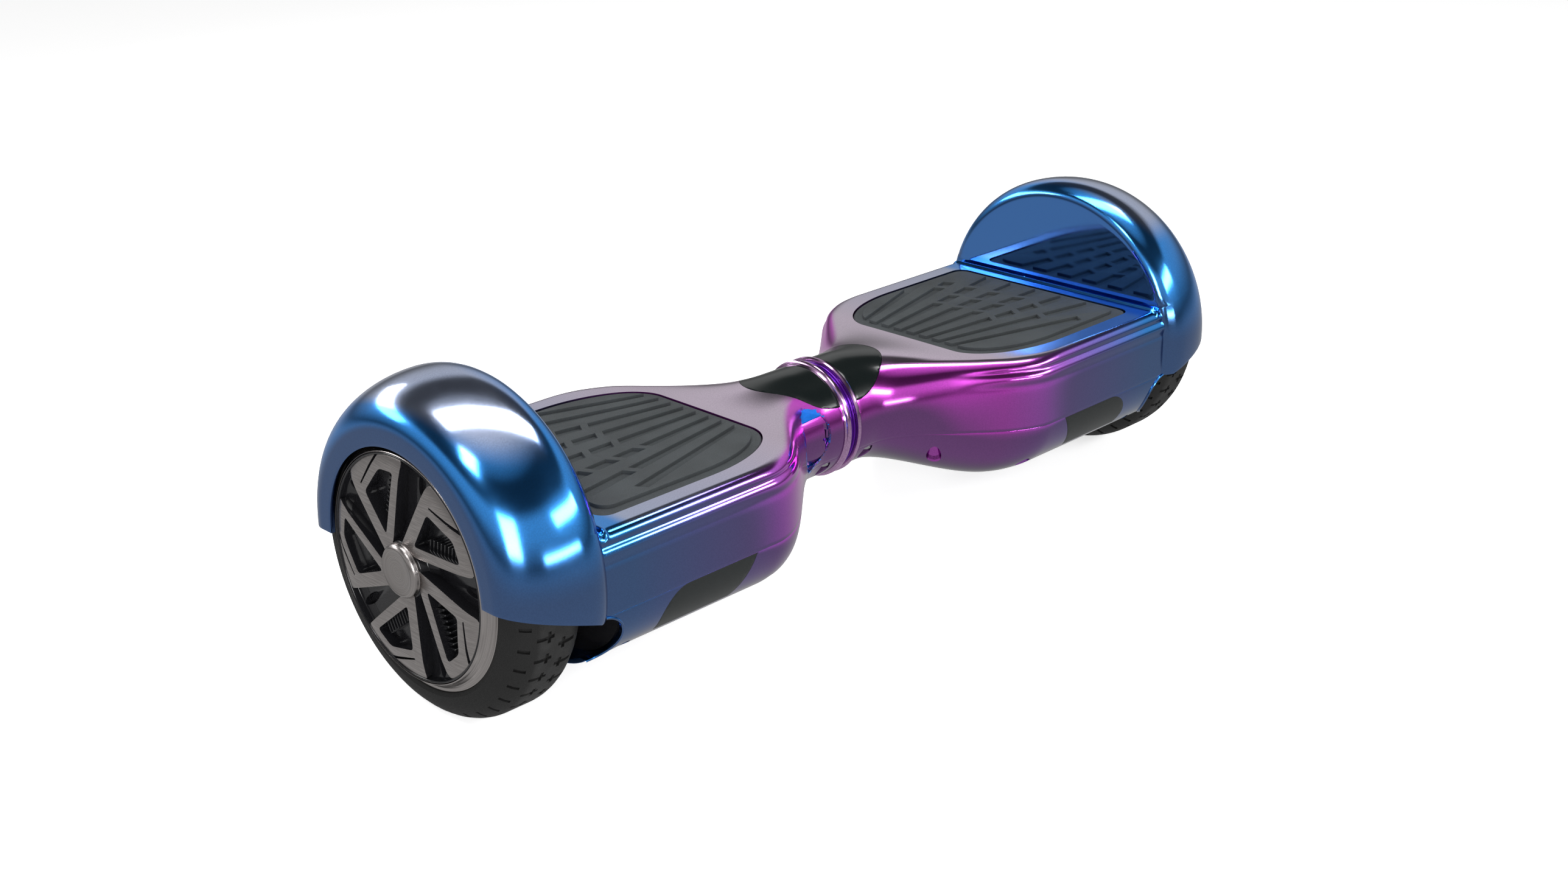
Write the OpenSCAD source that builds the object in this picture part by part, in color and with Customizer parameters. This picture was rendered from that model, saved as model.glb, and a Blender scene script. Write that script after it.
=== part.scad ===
// Self balancing two-wheel board: two shells that twist against each other on a hollow
// shaft, each with a foot pad, a hub motor wheel and a fender over the wheel.
// X runs along the wheel axis (the left half is at -X), -Y is the front, +Z is up.
// The origin is on the ground under the middle of the board.

/* [Overall] */
// Distance from the middle to the outer face of each fender
half_length = 288; // [270:1:350]
// Rolling radius of the tyre, which is also the height of the wheel axis
wheel_r = 84; // [70:1:101]
// Half width of the deck between its front and rear ridges
deck_half_w = 83; // [72:1:100]
// Height of the deck above the wheel axis
deck_rise = 26; // [24:1:32]
// Depth of the underside below the wheel axis
belly_drop = 54; // [48:1:58]
// Radius of the neck beside the trim rings
neck_r = 33; // [31:1:36]

/* [Shells] */
// Wall of the plastic shells
wall = 2.5; // [2:0.1:3.5]
// Height of the parting line below the wheel axis
part_drop = 16.5; // [14:0.5:20]
// How far the side wall stands out from the deck ridge
ridge_bevel = 3.6; // [2:0.1:6]
// Where the neck starts to widen
flare_start = 20; // [16:1:24]
// Length over which the neck widens into the deck
flare_len = 110; // [100:1:125]
// Length over which the side walls widen below the deck
wall_flare_len = 97; // [80:1:110]
// Length over which the underside drops from the neck to the belly
belly_len = 85; // [75:1:110]
// Drop of the neck pivot below the wheel axis
pivot_drop = 1.5; // [0:0.1:3]

/* [Fenders] */
// Width of each fender along the wheel axis
fender_w = 56.5; // [54:0.5:70]
// Clearance between the tyre and the inside of the fender
fender_gap = 7; // [5:0.5:10]
// Rounding of the crown towards the outer face, along the axis
crown_out_w = 41; // [30:1:44]
// Rounding of the crown towards the outer face, along the radius
crown_out_h = 23; // [15:1:26]
// Radius of the round opening in the outer face
arch_r = 62.7; // [58:0.1:70]

/* [Wheels] */
// Width of the tyre
tyre_w = 45; // [40:1:46]
// Radius of the seat of the tyre on the rim
rim_r = 57; // [50:1:60]
// Radius of the axle
axle_r = 8; // [6:0.5:9]
// Outer radius of the wheel bearings
bearing_r = 16; // [14:0.5:18]
// Radius of the decorative wheel cover
cover_r = 59.5; // [50:0.5:60]
// Radius of the hub cap
hub_cap_r = 14; // [12:0.5:18]

/* [Foot pads] */
// Distance from the middle to the inner edge of the pad
pad_x0 = 85; // [80:1:95]
// Half width of the pad
pad_half_w = 69; // [60:1:72]
// Half length of the straight inner edge of the pad
pad_in_half = 36; // [25:1:40]
// Length over which the inner corners of the pad round off
pad_round = 60; // [40:1:70]
// Clearance around the pad in its opening
pad_gap = 0.6; // [0.4:0.1:1]
// Travel of the pad onto its sensors
pad_travel = 1.2; // [0.8:0.1:1.4]

/* [Neck] */
// Outer radius of the trim rings
ring_r = 35; // [34:0.5:37]
// Half width of the seal between the trim rings
seal_half = 2.2; // [1.5:0.1:3]
// Width of each trim ring
ring_w = 4.5; // [3:0.1:6]
// Radius of the hollow pivot shaft
shaft_r = 11; // [10:0.5:12]
// Twist of one half against the other, each way, in degrees
twist_max = 10; // [6:1:12]

/* [Electrics] */
// Length of the battery pack
battery_len = 108; // [90:1:112]
// Width of the battery pack
battery_w = 74; // [60:1:80]
// Height of the battery pack
battery_h = 40; // [34:1:40]
// Radius of the front part of the charging socket
socket_r = 6.4; // [5:0.1:7]
// Radius of the charging cap
cap_r = 15.8; // [14:0.1:16.5]

/* [Hidden] */
$fn = 64;
sides = [-1, 1];
axle_z = wheel_r;
pivot_z = axle_z - pivot_drop;
deck_z = axle_z + deck_rise;
part_z = axle_z - part_drop;
belly_z = axle_z - belly_drop;
run_gap = 0.3;
shaft_gap = 0.04;
soft = "dimgray";

// Fender
well_x = half_length - fender_w;
fender_r = wheel_r + fender_gap + wall;
crown_in_w = 15.5;
crown_in_h = 9;
end_wall_x = well_x + wall;

// Neck
ring_x0 = seal_half + run_gap;
neck_x0 = ring_x0 + ring_w;
neck_core = neck_r - ridge_bevel;
flare_end = flare_start + flare_len;
crest_len = 65;
box_start = flare_start + 5;
box_len = 70;

// Frame
plate_top = deck_z - 8;
plate_t = 4;
plate_z = plate_top - plate_t;
frame_z0 = part_z - 1.5;
frame_half_w = deck_half_w - 25;
frame_x0 = 64;
frame_x1 = well_x - 5.5;
cradle_len = 26;
cradle_x0 = frame_x1 - cradle_len;
web_t = 4;
bush_t = 2.5;
boss_r = shaft_r + bush_t + 3.5;
bush_r = shaft_r + bush_t;
hollow_r = shaft_r - 3;
shaft_end = frame_x0 + web_t + 3.5;
clip_x = frame_x0 + web_t + run_gap;
clip_t = 1.4;
pin_x = 38;
pin_r = 2.5;

// Screws that close the shells
screw_r = 1.6;
screw_head_r = 3.5;
well_r = 4.5;
boss_wall = 2;
head_seat_z = frame_z0 - 6;
ear_t = 6;
ear_inset = 12;
ear_x = [flare_end - 20, well_x - 19.5];
near_screw_x = [neck_x0 + 11, flare_start + 41];
near_screw_y = [for (x = near_screw_x) ridge_w(x) - 4];

// Pad
pad_x1 = well_x - 13.5;
pad_corner_r = 8;
pad_bottom = plate_top + 4.7;
pad_top = deck_z + 1.4;
pad_foot_r = 5;

// Front light
light_x0 = flare_end + 1;
light_x1 = light_x0 + 64;
light_top_z = part_z - 0.3;
light_low_z = part_z - 24;

// Neck trims
trim_len = 43;
trim_half_w = 29;

// Wheel, measured along the axis
tyre_x0 = well_x + 6;
tyre_x1 = tyre_x0 + tyre_w;
tyre_mid = (tyre_x0 + tyre_x1) / 2;
tread_half = 7;
sidewall_r = rim_r + 9;
hub_x0 = tyre_x0 + 2.5;
hub_x1 = tyre_x1 - 3.5;
hub_wall = 4;
axle_x0 = cradle_x0 - 2;
stator_x0 = hub_x0 + 7;
stator_len = 16;
magnet_t = 4;
air_gap = 0.7;
hub_in_r = rim_r - hub_wall;
magnet_r = hub_in_r - magnet_t;
bearing_w = 8;
cover_x = hub_x1;
cap_x = cover_x + 9;
hub_cap_t = 4;

// Charging port and power button, on the neck of the left half
port_x = -37;
port_z = pivot_z + 4.5;
bay_r = 17;
bay_floor = 29.5;
cap_t = 2.2;
floor_t = 2;
hinge_x = port_x + 15.4;
button_r = 6.5;
button_gap = 0.4;
button_in = 30.5;
switch_r = 9;

// Electrics
battery_x1 = cradle_x0 - 14;
battery_x0 = battery_x1 - battery_len;
battery_z0 = plate_z - battery_h;
board_x1 = -battery_x0 - 6;
board_x0 = -cradle_x0 + 6;
board_t = 1.6;
board_z = pivot_z + 6;
lead_r = 2.2;
lead_y = 3.6;

// ---- Outline of the shells ----------------------------------------------------------------

function clamp01(u) = max(0, min(1, u));
function smooth(u) = let (c = clamp01(u)) c * c * (3 - 2 * c);
function mix(a, b, k) = a * (1 - k) + b * k;

// Half widths of the deck ridge and the side wall, then the crest and belly heights, at
// distance x from the middle
function half_w(x, len) = mix(neck_core, deck_half_w, smooth((x - flare_start) / len));
function ridge_w(x) = half_w(x, flare_len);
function wall_w(x) = half_w(x, wall_flare_len) + ridge_bevel;
function crest_z(x) = mix(pivot_z + neck_r, deck_z, smooth((x - flare_start) / crest_len));
function under_z(x) = mix(pivot_z - neck_r, belly_z, smooth((x - flare_start) / belly_len));
// 0 where the section is round, 1 where it is the boxy deck section
function boxy(x) = smooth((x - box_start) / box_len);
// Angle below the pivot at which the round section meets the parting line
function part_angle(x) = asin((pivot_z - part_z) / (pivot_z - under_z(x)));

// Upper half section, from the crest to the parting line: shares of the round section's angle,
// and the boxy section's points as [in from the ridge, share of the bevel, down from the crest]
upper_share = [0, 0.15, 0.29, 0.37, 0.43, 0.49, 0.57, 0.67, 0.82, 1];
upper_box = [[4.8, 0, 0], [2, 0, 0.5], [0, 0, 2], [0, 0.33, 5], [0, 0.7, 10], [0, 0.92, 16]];

function box_upper(x, i) =
    let (r = ridge_w(x), w = wall_w(x), z = crest_z(x), p = upper_box[min(i - 2, 5)])
    i < 2 ? [r * i / 2, z]
    : i < 8 ? [r - p[0] + p[1] * (w - r), z - p[2]]
    : [w, mix(z - p[2], part_z, (i - 7) / 2)];

function round_upper(x, i) =
    let (a = mix(90, -part_angle(x), upper_share[i]), w = wall_w(x))
    let (h = a > 0 ? crest_z(x) - pivot_z : pivot_z - under_z(x))
    [w * cos(a), pivot_z + h * sin(a)];

function half_upper(x) =
    [for (i = [0 : len(upper_share) - 1]) mix(round_upper(x, i), box_upper(x, i), boxy(x))];

// Lower half section, from the parting line to the belly
lower_steps = 7;
belly_round = 0.52;

function box_lower(x, i) =
    let (w = wall_w(x), a = 90 * i / (lower_steps - 1))
    i == lower_steps ? [0, under_z(x)]
    : [w - belly_round * w * (1 - cos(a)), part_z - (part_z - under_z(x)) * sin(a)];

function round_lower(x, i) =
    let (a = mix(part_angle(x), 90, i / lower_steps))
    [wall_w(x) * cos(a), pivot_z - (pivot_z - under_z(x)) * sin(a)];

function half_lower(x) =
    [for (i = [0 : lower_steps]) mix(round_lower(x, i), box_lower(x, i), boxy(x))];

// Whole section line, from the front parting edge across the middle to the rear one
function reversed(list) = [for (i = [len(list) - 1 : -1 : 0]) list[i]];
function across(half) =
    concat([for (p = reversed(half)) [-p[0], p[1]]], [for (i = [1 : len(half) - 1]) half[i]]);
function line_at(x, upper) = across(upper ? half_upper(x) : reversed(half_lower(x)));

// The same line moved inwards by the wall, kept level at its two ends
function unit(v) = v / norm(v);
function inward(line, i, t, s) =
    let (last = len(line) - 1)
    let (d = unit(line[min(i + 1, last)] - line[max(i - 1, 0)]))
    i == 0 ? line[i] + [t, 0]
    : i == last ? line[i] - [t, 0]
    : line[i] + s * t * [d[1], -d[0]];
function inner_line(line, t, s) = [for (i = [0 : len(line) - 1]) inward(line, i, t, s)];

flare_steps = 14;
stations = concat(
    [for (i = [0 : flare_steps]) mix(neck_x0, flare_end, i / flare_steps)],
    [end_wall_x]
);

// Triangles that close one end of a loft: a strip across the wall of a thin ring of n points, or
// a fan over a solid one
function strip(n) = [for (i = [0 : n / 2 - 2]) each [[i, n - 2 - i, i + 1], [i, n - 1 - i, n - 2 - i]]];
function fan(n) = [for (i = [1 : n - 2]) [0, i + 1, i]];

// A loft through closed rings of equal length, given from low x to high x
module loft(rings, thin = false) {
    n = len(rings[0]);
    last = len(rings) - 1;
    points = [for (ring = rings) each ring];
    walls = [for (k = [0 : last - 1]) for (i = [0 : n - 1])
        let (a = k * n + i, b = k * n + (i + 1) % n)
        each [[a, b + n, a + n], [a, b, b + n]]];
    cap = thin ? strip(n) : fan(n);
    last_cap = [for (t = cap) [t[2] + last * n, t[1] + last * n, t[0] + last * n]];
    polyhedron(points, concat(walls, cap, last_cap));
}

function ring_at(x, line) = [for (p = line) [x, p[0], p[1]]];

// Skin of one shell: the outline with its wall thickness
module skin(upper) {
    s = upper ? 1 : -1;
    rings = [for (x = stations)
        let (line = line_at(x, upper))
        ring_at(x, concat(line, reversed(inner_line(line, wall, s))))];
    loft(upper ? rings : [for (r = rings) reversed(r)], true);
}

// The same outline filled solid, with its surface t inside the skin's
module filled(upper, t) {
    s = upper ? 1 : -1;
    rings = [for (x = stations) ring_at(x, inner_line(line_at(x, upper), t, s))];
    loft(upper ? rings : [for (r = rings) reversed(r)]);
}

// ---- Small helpers --------------------------------------------------------------------------

module along_x(x0, x1, r, y = 0, z = axle_z) {
    translate([x0, y, z]) rotate([0, 90, 0]) cylinder(r = r, h = x1 - x0);
}

module along_y(x, y0, y1, z, r) {
    translate([x, y0, z]) rotate([-90, 0, 0]) cylinder(r = r, h = y1 - y0);
}

module block(x0, x1, y0, y1, z0, z1) {
    translate([x0, y0, z0]) cube([x1 - x0, y1 - y0, z1 - z0]);
}

// Turns a [radius, x] outline about the wheel axis
module turned(points) {
    translate([0, 0, axle_z]) rotate([0, 90, 0]) rotate_extrude($fn = 96) polygon(points);
}

module left() {
    mirror([1, 0, 0]) children();
}

// ---- Upper shell ----------------------------------------------------------------------------

function arc_points(cr, cx, ar, ax, a0, a1, steps) =
    [for (i = [0 : steps]) let (a = mix(a0, a1, i / steps)) [cr + ar * sin(a), cx + ax * cos(a)]];

// Fender outline in [radius, x]: inner plane down to radius r0, shoulder, crown and outer face
module fender_profile(r0) {
    in_x = well_x + crown_in_w;
    out_x = half_length - crown_out_w;
    in_r = fender_r - crown_in_h;
    out_r = fender_r - crown_out_h;
    outer = concat(
        arc_points(in_r, in_x, crown_in_h, crown_in_w, 180, 90, 6),
        arc_points(out_r, out_x, crown_out_h, crown_out_w, 90, 0, 10)
    );
    inner = concat(
        arc_points(out_r, out_x, crown_out_h - wall, crown_out_w - wall, 0, 90, 10),
        arc_points(in_r, in_x, crown_in_h - wall, crown_in_w - wall, 90, 180, 6)
    );
    face = [[arch_r, half_length], [arch_r, half_length - wall]];
    polygon(concat([[r0, well_x]], outer, face, inner, [[r0, end_wall_x]]));
}

// Side view of what is kept of the fender: its ends slope down towards the body
module fender_side() {
    polygon([
        [well_x, part_z], [well_x + 22, part_z], [well_x + 22.5, axle_z - 8],
        [half_length + 1, axle_z], [half_length + 1, axle_z + 150], [well_x, axle_z + 150]
    ]);
}

module fender_of_revolution(r0) {
    translate([0, 0, axle_z]) rotate([0, 90, 0]) rotate_extrude($fn = 96) fender_profile(r0);
}

module fender() {
    intersection() {
        fender_of_revolution(axle_r + 4);
        translate([0, fender_r + 1, 0]) rotate([90, 0, 0])
            linear_extrude(2 * fender_r + 2) fender_side();
    }
}

function corner_arc(cx, cy, r, a0, steps) =
    [for (i = [0 : steps]) let (a = a0 + 90 * i / steps) [cx + r * cos(a), cy + r * sin(a)]];

// Plan of the foot pad, grown by g
module pad_outline(g) {
    cx = pad_x0 + pad_round;
    a = pad_round + g;
    b = pad_half_w - pad_in_half + g;
    x1 = pad_x1 + g - pad_corner_r;
    y1 = pad_half_w + g - pad_corner_r;
    bend = [for (i = [0 : 8]) [cx - a * cos(i * 11.25), pad_in_half + b * sin(i * 11.25)]];
    half = concat(bend, reversed(corner_arc(x1, y1, pad_corner_r, 0, 4)));
    polygon(concat(half, [for (p = reversed(half)) [p[0], -p[1]]]));
}

// Bosses that take the screws, from the top of the frame ears or the lower shell to the skin
module upper_boss(x, y, z0) {
    translate([x, y, z0]) cylinder(r = screw_r + boss_wall, h = deck_z - z0, $fn = 32);
}

module upper_bosses() {
    intersection() {
        for (s = sides) {
            for (x = ear_x) upper_boss(x, s * (deck_half_w - ear_inset), frame_z0 + ear_t);
            for (i = [0, 1]) upper_boss(near_screw_x[i], s * near_screw_y[i], frame_z0);
        }
        filled(true, wall / 2);
    }
}

module screw_holes(r, z0, z1) {
    for (s = sides) {
        for (x = ear_x)
            translate([x, s * (deck_half_w - ear_inset), z0]) cylinder(r = r, h = z1 - z0, $fn = 32);
        for (i = [0, 1])
            translate([near_screw_x[i], s * near_screw_y[i], z0])
                cylinder(r = r, h = z1 - z0, $fn = 32);
    }
}

module trim_outline(g) {
    intersection() {
        translate([neck_x0, 0]) scale([(trim_len + g) / 100, (trim_half_w + g) / 100])
            circle(r = 100, $fn = 48);
        translate([neck_x0 - 1, -50]) square([trim_len + 10, 100]);
    }
}

module upper_shell() {
    difference() {
        union() {
            skin(true);
            fender();
            upper_bosses();
        }
        block(well_x - 1, end_wall_x + 1, -axle_r - 4, axle_r + 4, part_z - 1, axle_z);
        translate([0, 0, pad_bottom - 3]) linear_extrude(30) pad_outline(pad_gap);
        translate([0, 0, axle_z + 8]) linear_extrude(60) trim_outline(0.2);
        screw_holes(screw_r, part_z - 3, frame_z0 + ear_t + 10);
    }
}

// Bay of the charging port and boss of the power switch, in the neck of the left half
module port_boss() {
    intersection() {
        union() {
            along_y(port_x, -70, -bay_floor + floor_t, port_z, bay_r + 1.8);
            along_y(port_x, 24, 50, port_z, switch_r + boss_wall);
        }
        left() filled(true, 0.3);
    }
}

module left_upper_shell() {
    color("slateblue") difference() {
        union() {
            left() upper_shell();
            port_boss();
        }
        along_y(port_x, -71, -bay_floor, port_z, bay_r);
        along_y(port_x, -bay_floor - 1, -bay_floor + floor_t + 1, port_z, socket_r + 2.1);
        along_y(port_x, 20, 29, port_z, switch_r);
        along_y(port_x, 28, 51, port_z, button_r + button_gap);
    }
}

module right_upper_shell() {
    color("mediumorchid") upper_shell();
}

// ---- Lower shell ----------------------------------------------------------------------------

module light_outline(g) {
    r = 17 + g;
    x0 = light_x0 - g;
    x1 = light_x1 + g - r;
    z1 = light_top_z + min(g, 0);
    far = [for (i = [0 : 6]) [x1 + r * sin(15 * i), z1 - r + r * cos(15 * i)]];
    polygon(concat([[x0, z1]], far, [[x1 + r, light_low_z - g], [x0 + 12, light_low_z - g]]));
}

module light_prism(g) {
    translate([0, -20, 0]) rotate([90, 0, 0]) linear_extrude(deck_half_w) light_outline(g);
}

module lower_end_wall() {
    difference() {
        translate([well_x, 0, 0]) rotate([90, 0, 90]) linear_extrude(wall)
            polygon(inner_line(lower_across(well_x), wall / 2, -1));
        block(well_x - 1, end_wall_x + 1, -axle_r - 4, axle_r + 4, part_z - 4, part_z + 1);
    }
}

// Ears that carry the line of the fender a little below the parting line, front and rear
module lower_ears() {
    intersection() {
        fender_of_revolution(fender_r - crown_in_h - 1);
        translate([0, fender_r + 1, 0]) rotate([90, 0, 0]) linear_extrude(2 * fender_r + 2)
            polygon([[well_x, part_z], [well_x + 22, part_z], [well_x + 18, part_z - 9],
                [well_x + 8, part_z - 15], [well_x, part_z - 18]]);
    }
}

module lower_bosses() {
    intersection() {
        screw_holes(well_r + boss_wall, belly_z, frame_z0);
        filled(false, wall / 2);
    }
}

module lower_shell() {
    color("darkslateblue") difference() {
        union() {
            skin(false);
            lower_end_wall();
            lower_ears();
            lower_bosses();
        }
        screw_holes(well_r, belly_z - 1, head_seat_z);
        screw_holes(screw_r + 0.3, head_seat_z - 1, part_z + 1);
        light_prism(0.2);
    }
}

module left_lower_shell() {
    left() lower_shell();
}

module right_lower_shell() {
    lower_shell();
}

// ---- Trims, rings, lights ---------------------------------------------------------------------

module neck_trim() {
    color("black") intersection() {
        skin(true);
        translate([0, 0, axle_z + 8]) linear_extrude(60) trim_outline(0);
    }
}

module left_neck_trim() {
    left() neck_trim();
}

module right_neck_trim() {
    neck_trim();
}

module neck_ring() {
    color("plum") translate([0, 0, pivot_z]) rotate([0, 90, 0]) rotate_extrude($fn = 96)
        polygon([[neck_r - 7, ring_x0], [ring_r - 1, ring_x0], [ring_r, ring_x0 + 1],
            [ring_r, neck_x0 - 1.5], [ring_r - 1.5, neck_x0], [neck_r - 7, neck_x0]]);
}

module left_neck_ring() {
    left() neck_ring();
}

module right_neck_ring() {
    neck_ring();
}

module neck_seal() {
    color("indigo") translate([-ring_x0, 0, pivot_z]) rotate([0, 90, 0]) difference() {
        cylinder(r = neck_r, h = ring_x0 + seal_half, $fn = 96);
        translate([0, 0, -1]) cylinder(r = neck_r - 6, h = 2 * ring_x0 + 2, $fn = 96);
    }
}

light_post_y = deck_half_w - 8;

module light_lens() {
    color("black") {
        intersection() {
            skin(false);
            light_prism(0);
        }
        intersection() {
            for (x = [light_x0 + 16, light_x1 - 18])
                block(x, x + 4, -deck_half_w - 2, -light_post_y, part_z - 10, part_z - 6);
            filled(false, wall / 2);
        }
    }
}

module left_light_lens() {
    left() light_lens();
}

module right_light_lens() {
    light_lens();
}

module light_board() {
    color("green") block(light_x0 + 12, light_x1 - 10, -light_post_y, 1.6 - light_post_y,
        part_z - 16, part_z - 3);
    for (i = [0 : 2])
        color("white") block(light_x0 + 25 + 8 * i, light_x0 + 28 + 8 * i, -light_post_y - 1,
            0.5 - light_post_y, part_z - 9, part_z - 6);
}

module left_light_board() {
    left() light_board();
}

module right_light_board() {
    light_board();
}

// ---- Frame --------------------------------------------------------------------------------------

module frame_plan(inset) {
    w = frame_half_w - inset;
    n = frame_half_w - 22 - inset;
    polygon([[frame_x0 + inset, -n], [flare_end - 30, -w], [frame_x1 - inset, -w],
        [frame_x1 - inset, w], [flare_end - 30, w], [frame_x0 + inset, n]]);
}

module frame_ears() {
    y1 = deck_half_w - ear_inset;
    for (s = sides) for (x = ear_x) translate([x, s * y1, frame_z0])
        cylinder(r = 5, h = ear_t, $fn = 32);
    for (s = sides) for (x = ear_x)
        block(x - 4, x + 4, min(s * y1, s * (frame_half_w - 2)), max(s * y1, s * (frame_half_w - 2)),
            frame_z0, frame_z0 + ear_t);
}

module frame(bore_r) {
    color("silver") difference() {
        union() {
            translate([0, 0, frame_z0]) linear_extrude(plate_top - frame_z0) frame_plan(0);
            frame_ears();
            along_x(neck_x0 + 2, frame_x0 + 1, boss_r, 0, pivot_z);
        }
        translate([0, 0, frame_z0 - 1]) linear_extrude(plate_z - frame_z0 + 1) difference() {
            frame_plan(web_t);
            translate([cradle_x0, -22]) square([cradle_len + 1, 44]);
        }
        block(cradle_x0 - 1, frame_x1 + 1, -22, 22, frame_z0 - 1, axle_z);
        along_x(cradle_x0 - 1, frame_x1 + 1, axle_r);
        along_x(neck_x0 + 1, frame_x0 + web_t + 1, bore_r, 0, pivot_z);
        for (s = sides) for (x = ear_x) translate([x, s * (deck_half_w - ear_inset), frame_z0 - 1])
            cylinder(r = screw_r + 0.3, h = ear_t + 2, $fn = 32);
        for (s = sides) translate([cradle_x0 + cradle_len / 2, s * 15, axle_z - 1])
            cylinder(r = 2.5, h = 11, $fn = 32);
        if (bore_r > shaft_r) translate([pin_x, 0, pivot_z + shaft_r]) cylinder(r = pin_r, h = 20);
    }
}

module left_frame() {
    left() frame(shaft_r);
}

module right_frame() {
    frame(bush_r);
}

module axle_clamp() {
    color("gainsboro") difference() {
        block(cradle_x0, frame_x1 - web_t, -21.5, 21.5, axle_z - 13, axle_z);
        along_x(cradle_x0 - 1, frame_x1 + 1, axle_r);
        for (s = sides) translate([cradle_x0 + cradle_len / 2, s * 15, axle_z - 14])
            cylinder(r = 2.8, h = 16, $fn = 32);
    }
}

module left_axle_clamp() {
    left() axle_clamp();
}

module right_axle_clamp() {
    axle_clamp();
}

module clamp_screws() {
    color("dimgray") for (s = sides) translate([cradle_x0 + cradle_len / 2, s * 15, 0]) {
        translate([0, 0, axle_z - 13]) cylinder(r = 2.5, h = 22, $fn = 32);
        translate([0, 0, axle_z - 17]) cylinder(r = 4.5, h = 4, $fn = 32);
    }
}

module left_clamp_screws() {
    left() clamp_screws();
}

module right_clamp_screws() {
    clamp_screws();
}

module shell_screws() {
    color("dimgray") {
        screw_holes(screw_head_r, head_seat_z - 3, head_seat_z);
        screw_holes(screw_r, head_seat_z - 1, frame_z0 + ear_t + 9);
    }
}

module left_shell_screws() {
    left() shell_screws();
}

module right_shell_screws() {
    shell_screws();
}

// ---- Pivot --------------------------------------------------------------------------------------

module pivot_shaft() {
    slot_half = twist_max + asin((pin_r + 0.3) / (shaft_r - 2));
    color("lightsteelblue") translate([0, 0, pivot_z]) rotate([0, 90, 0]) difference() {
        translate([0, 0, -frame_x0 - web_t]) cylinder(r = shaft_r, h = frame_x0 + web_t + shaft_end);
        translate([0, 0, -frame_x0 - web_t - 1])
            cylinder(r = hollow_r, h = frame_x0 + web_t + shaft_end + 2);
        translate([0, 0, pin_x - pin_r - 0.3]) rotate([0, 0, 180 - slot_half])
            rotate_extrude(angle = 2 * slot_half)
                translate([shaft_r - 2, 0]) square([3, 2 * pin_r + 0.6]);
        translate([0, 0, clip_x - 0.1]) rotate_extrude()
            translate([shaft_r - 1, 0]) square([2, clip_t + 0.2]);
    }
}

bush_len = 12;

module pivot_bushes() {
    color("goldenrod") for (x = [neck_x0 + 2, frame_x0 + web_t - bush_len])
        translate([x, 0, pivot_z]) rotate([0, 90, 0]) difference() {
            cylinder(r = bush_r, h = bush_len);
            translate([0, 0, -1]) cylinder(r = shaft_r + shaft_gap, h = bush_len + 2);
        }
}

module shaft_circlip() {
    color("dimgray") translate([clip_x, 0, pivot_z]) rotate([0, 90, 0]) difference() {
        cylinder(r = shaft_r + 3, h = clip_t);
        translate([0, 0, -1]) cylinder(r = shaft_r - 1, h = 4);
    }
}

module twist_limit_pin() {
    color("gray") translate([pin_x, 0, pivot_z + shaft_r - 1.6]) {
        cylinder(r = pin_r, h = boss_r - shaft_r + 1.6);
        translate([0, 0, boss_r - shaft_r + 1.6]) cylinder(r = pin_r + 1.5, h = 2.5);
    }
}

// ---- Foot pads and their sensors --------------------------------------------------------------

module foot_pad() {
    color(soft) {
        translate([0, 0, pad_bottom]) linear_extrude(pad_top - pad_bottom) pad_outline(0);
        for (s = sides) for (x = [pad_x0 + 17, pad_x1 - 12])
            translate([x, s * (frame_half_w - 8), plate_top + pad_travel + 0.1])
                cylinder(r = pad_foot_r, h = pad_bottom - plate_top - pad_travel, $fn = 32);
    }
}

module left_foot_pad() {
    left() foot_pad();
}

module right_foot_pad() {
    foot_pad();
}

module sensor_board() {
    x0 = pad_x0 + 28;
    x1 = pad_x1 - 22;
    color("green") block(x0, x1, 10 - frame_half_w + 8, frame_half_w - 18, plate_top,
        plate_top + board_t);
    color("black") for (x = [x0 + 8, x1 - 20]) block(x, x + 12, -4, 4, plate_top + board_t - 0.1,
        plate_top + 3.2);
}

module left_sensor_board() {
    left() sensor_board();
}

module right_sensor_board() {
    sensor_board();
}

// ---- Wheels -------------------------------------------------------------------------------------

module axle() {
    color("lightsteelblue") along_x(axle_x0, hub_x1 - hub_wall - run_gap, axle_r);
}

module left_axle() {
    left() axle();
}

module right_axle() {
    axle();
}

module stator() {
    teeth = 27;
    color("peru") difference() {
        along_x(stator_x0, stator_x0 + stator_len, magnet_r - air_gap, 0, axle_z, $fn = 96);
        along_x(stator_x0 - 1, stator_x0 + stator_len + 1, axle_r);
        translate([stator_x0 - 1, 0, axle_z]) rotate([0, 90, 0]) for (i = [0 : teeth - 1])
            rotate([0, 0, i * 360 / teeth]) translate([magnet_r - air_gap - 10, -1.2, 0])
                cube([12, 2.4, stator_len + 2]);
    }
}

module left_stator() {
    left() stator();
}

module right_stator() {
    stator();
}

module tyre() {
    shoulder = tyre_w / 2 - tread_half;
    rise = wheel_r - sidewall_r;
    left_bend = arc_points(sidewall_r, tyre_mid - tread_half, rise, shoulder, 180, 90, 8);
    right_bend = arc_points(sidewall_r, tyre_mid + tread_half, rise, shoulder, 90, 0, 8);
    color(soft) turned(concat([[rim_r, hub_x0], [rim_r + 4, tyre_x0 + 1.5]], left_bend, right_bend,
        [[sidewall_r - 0.3, tyre_x1 - 4.8], [rim_r, tyre_x1 - 4.8]]));
}

module left_tyre() {
    left() tyre();
}

module right_tyre() {
    tyre();
}

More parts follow.
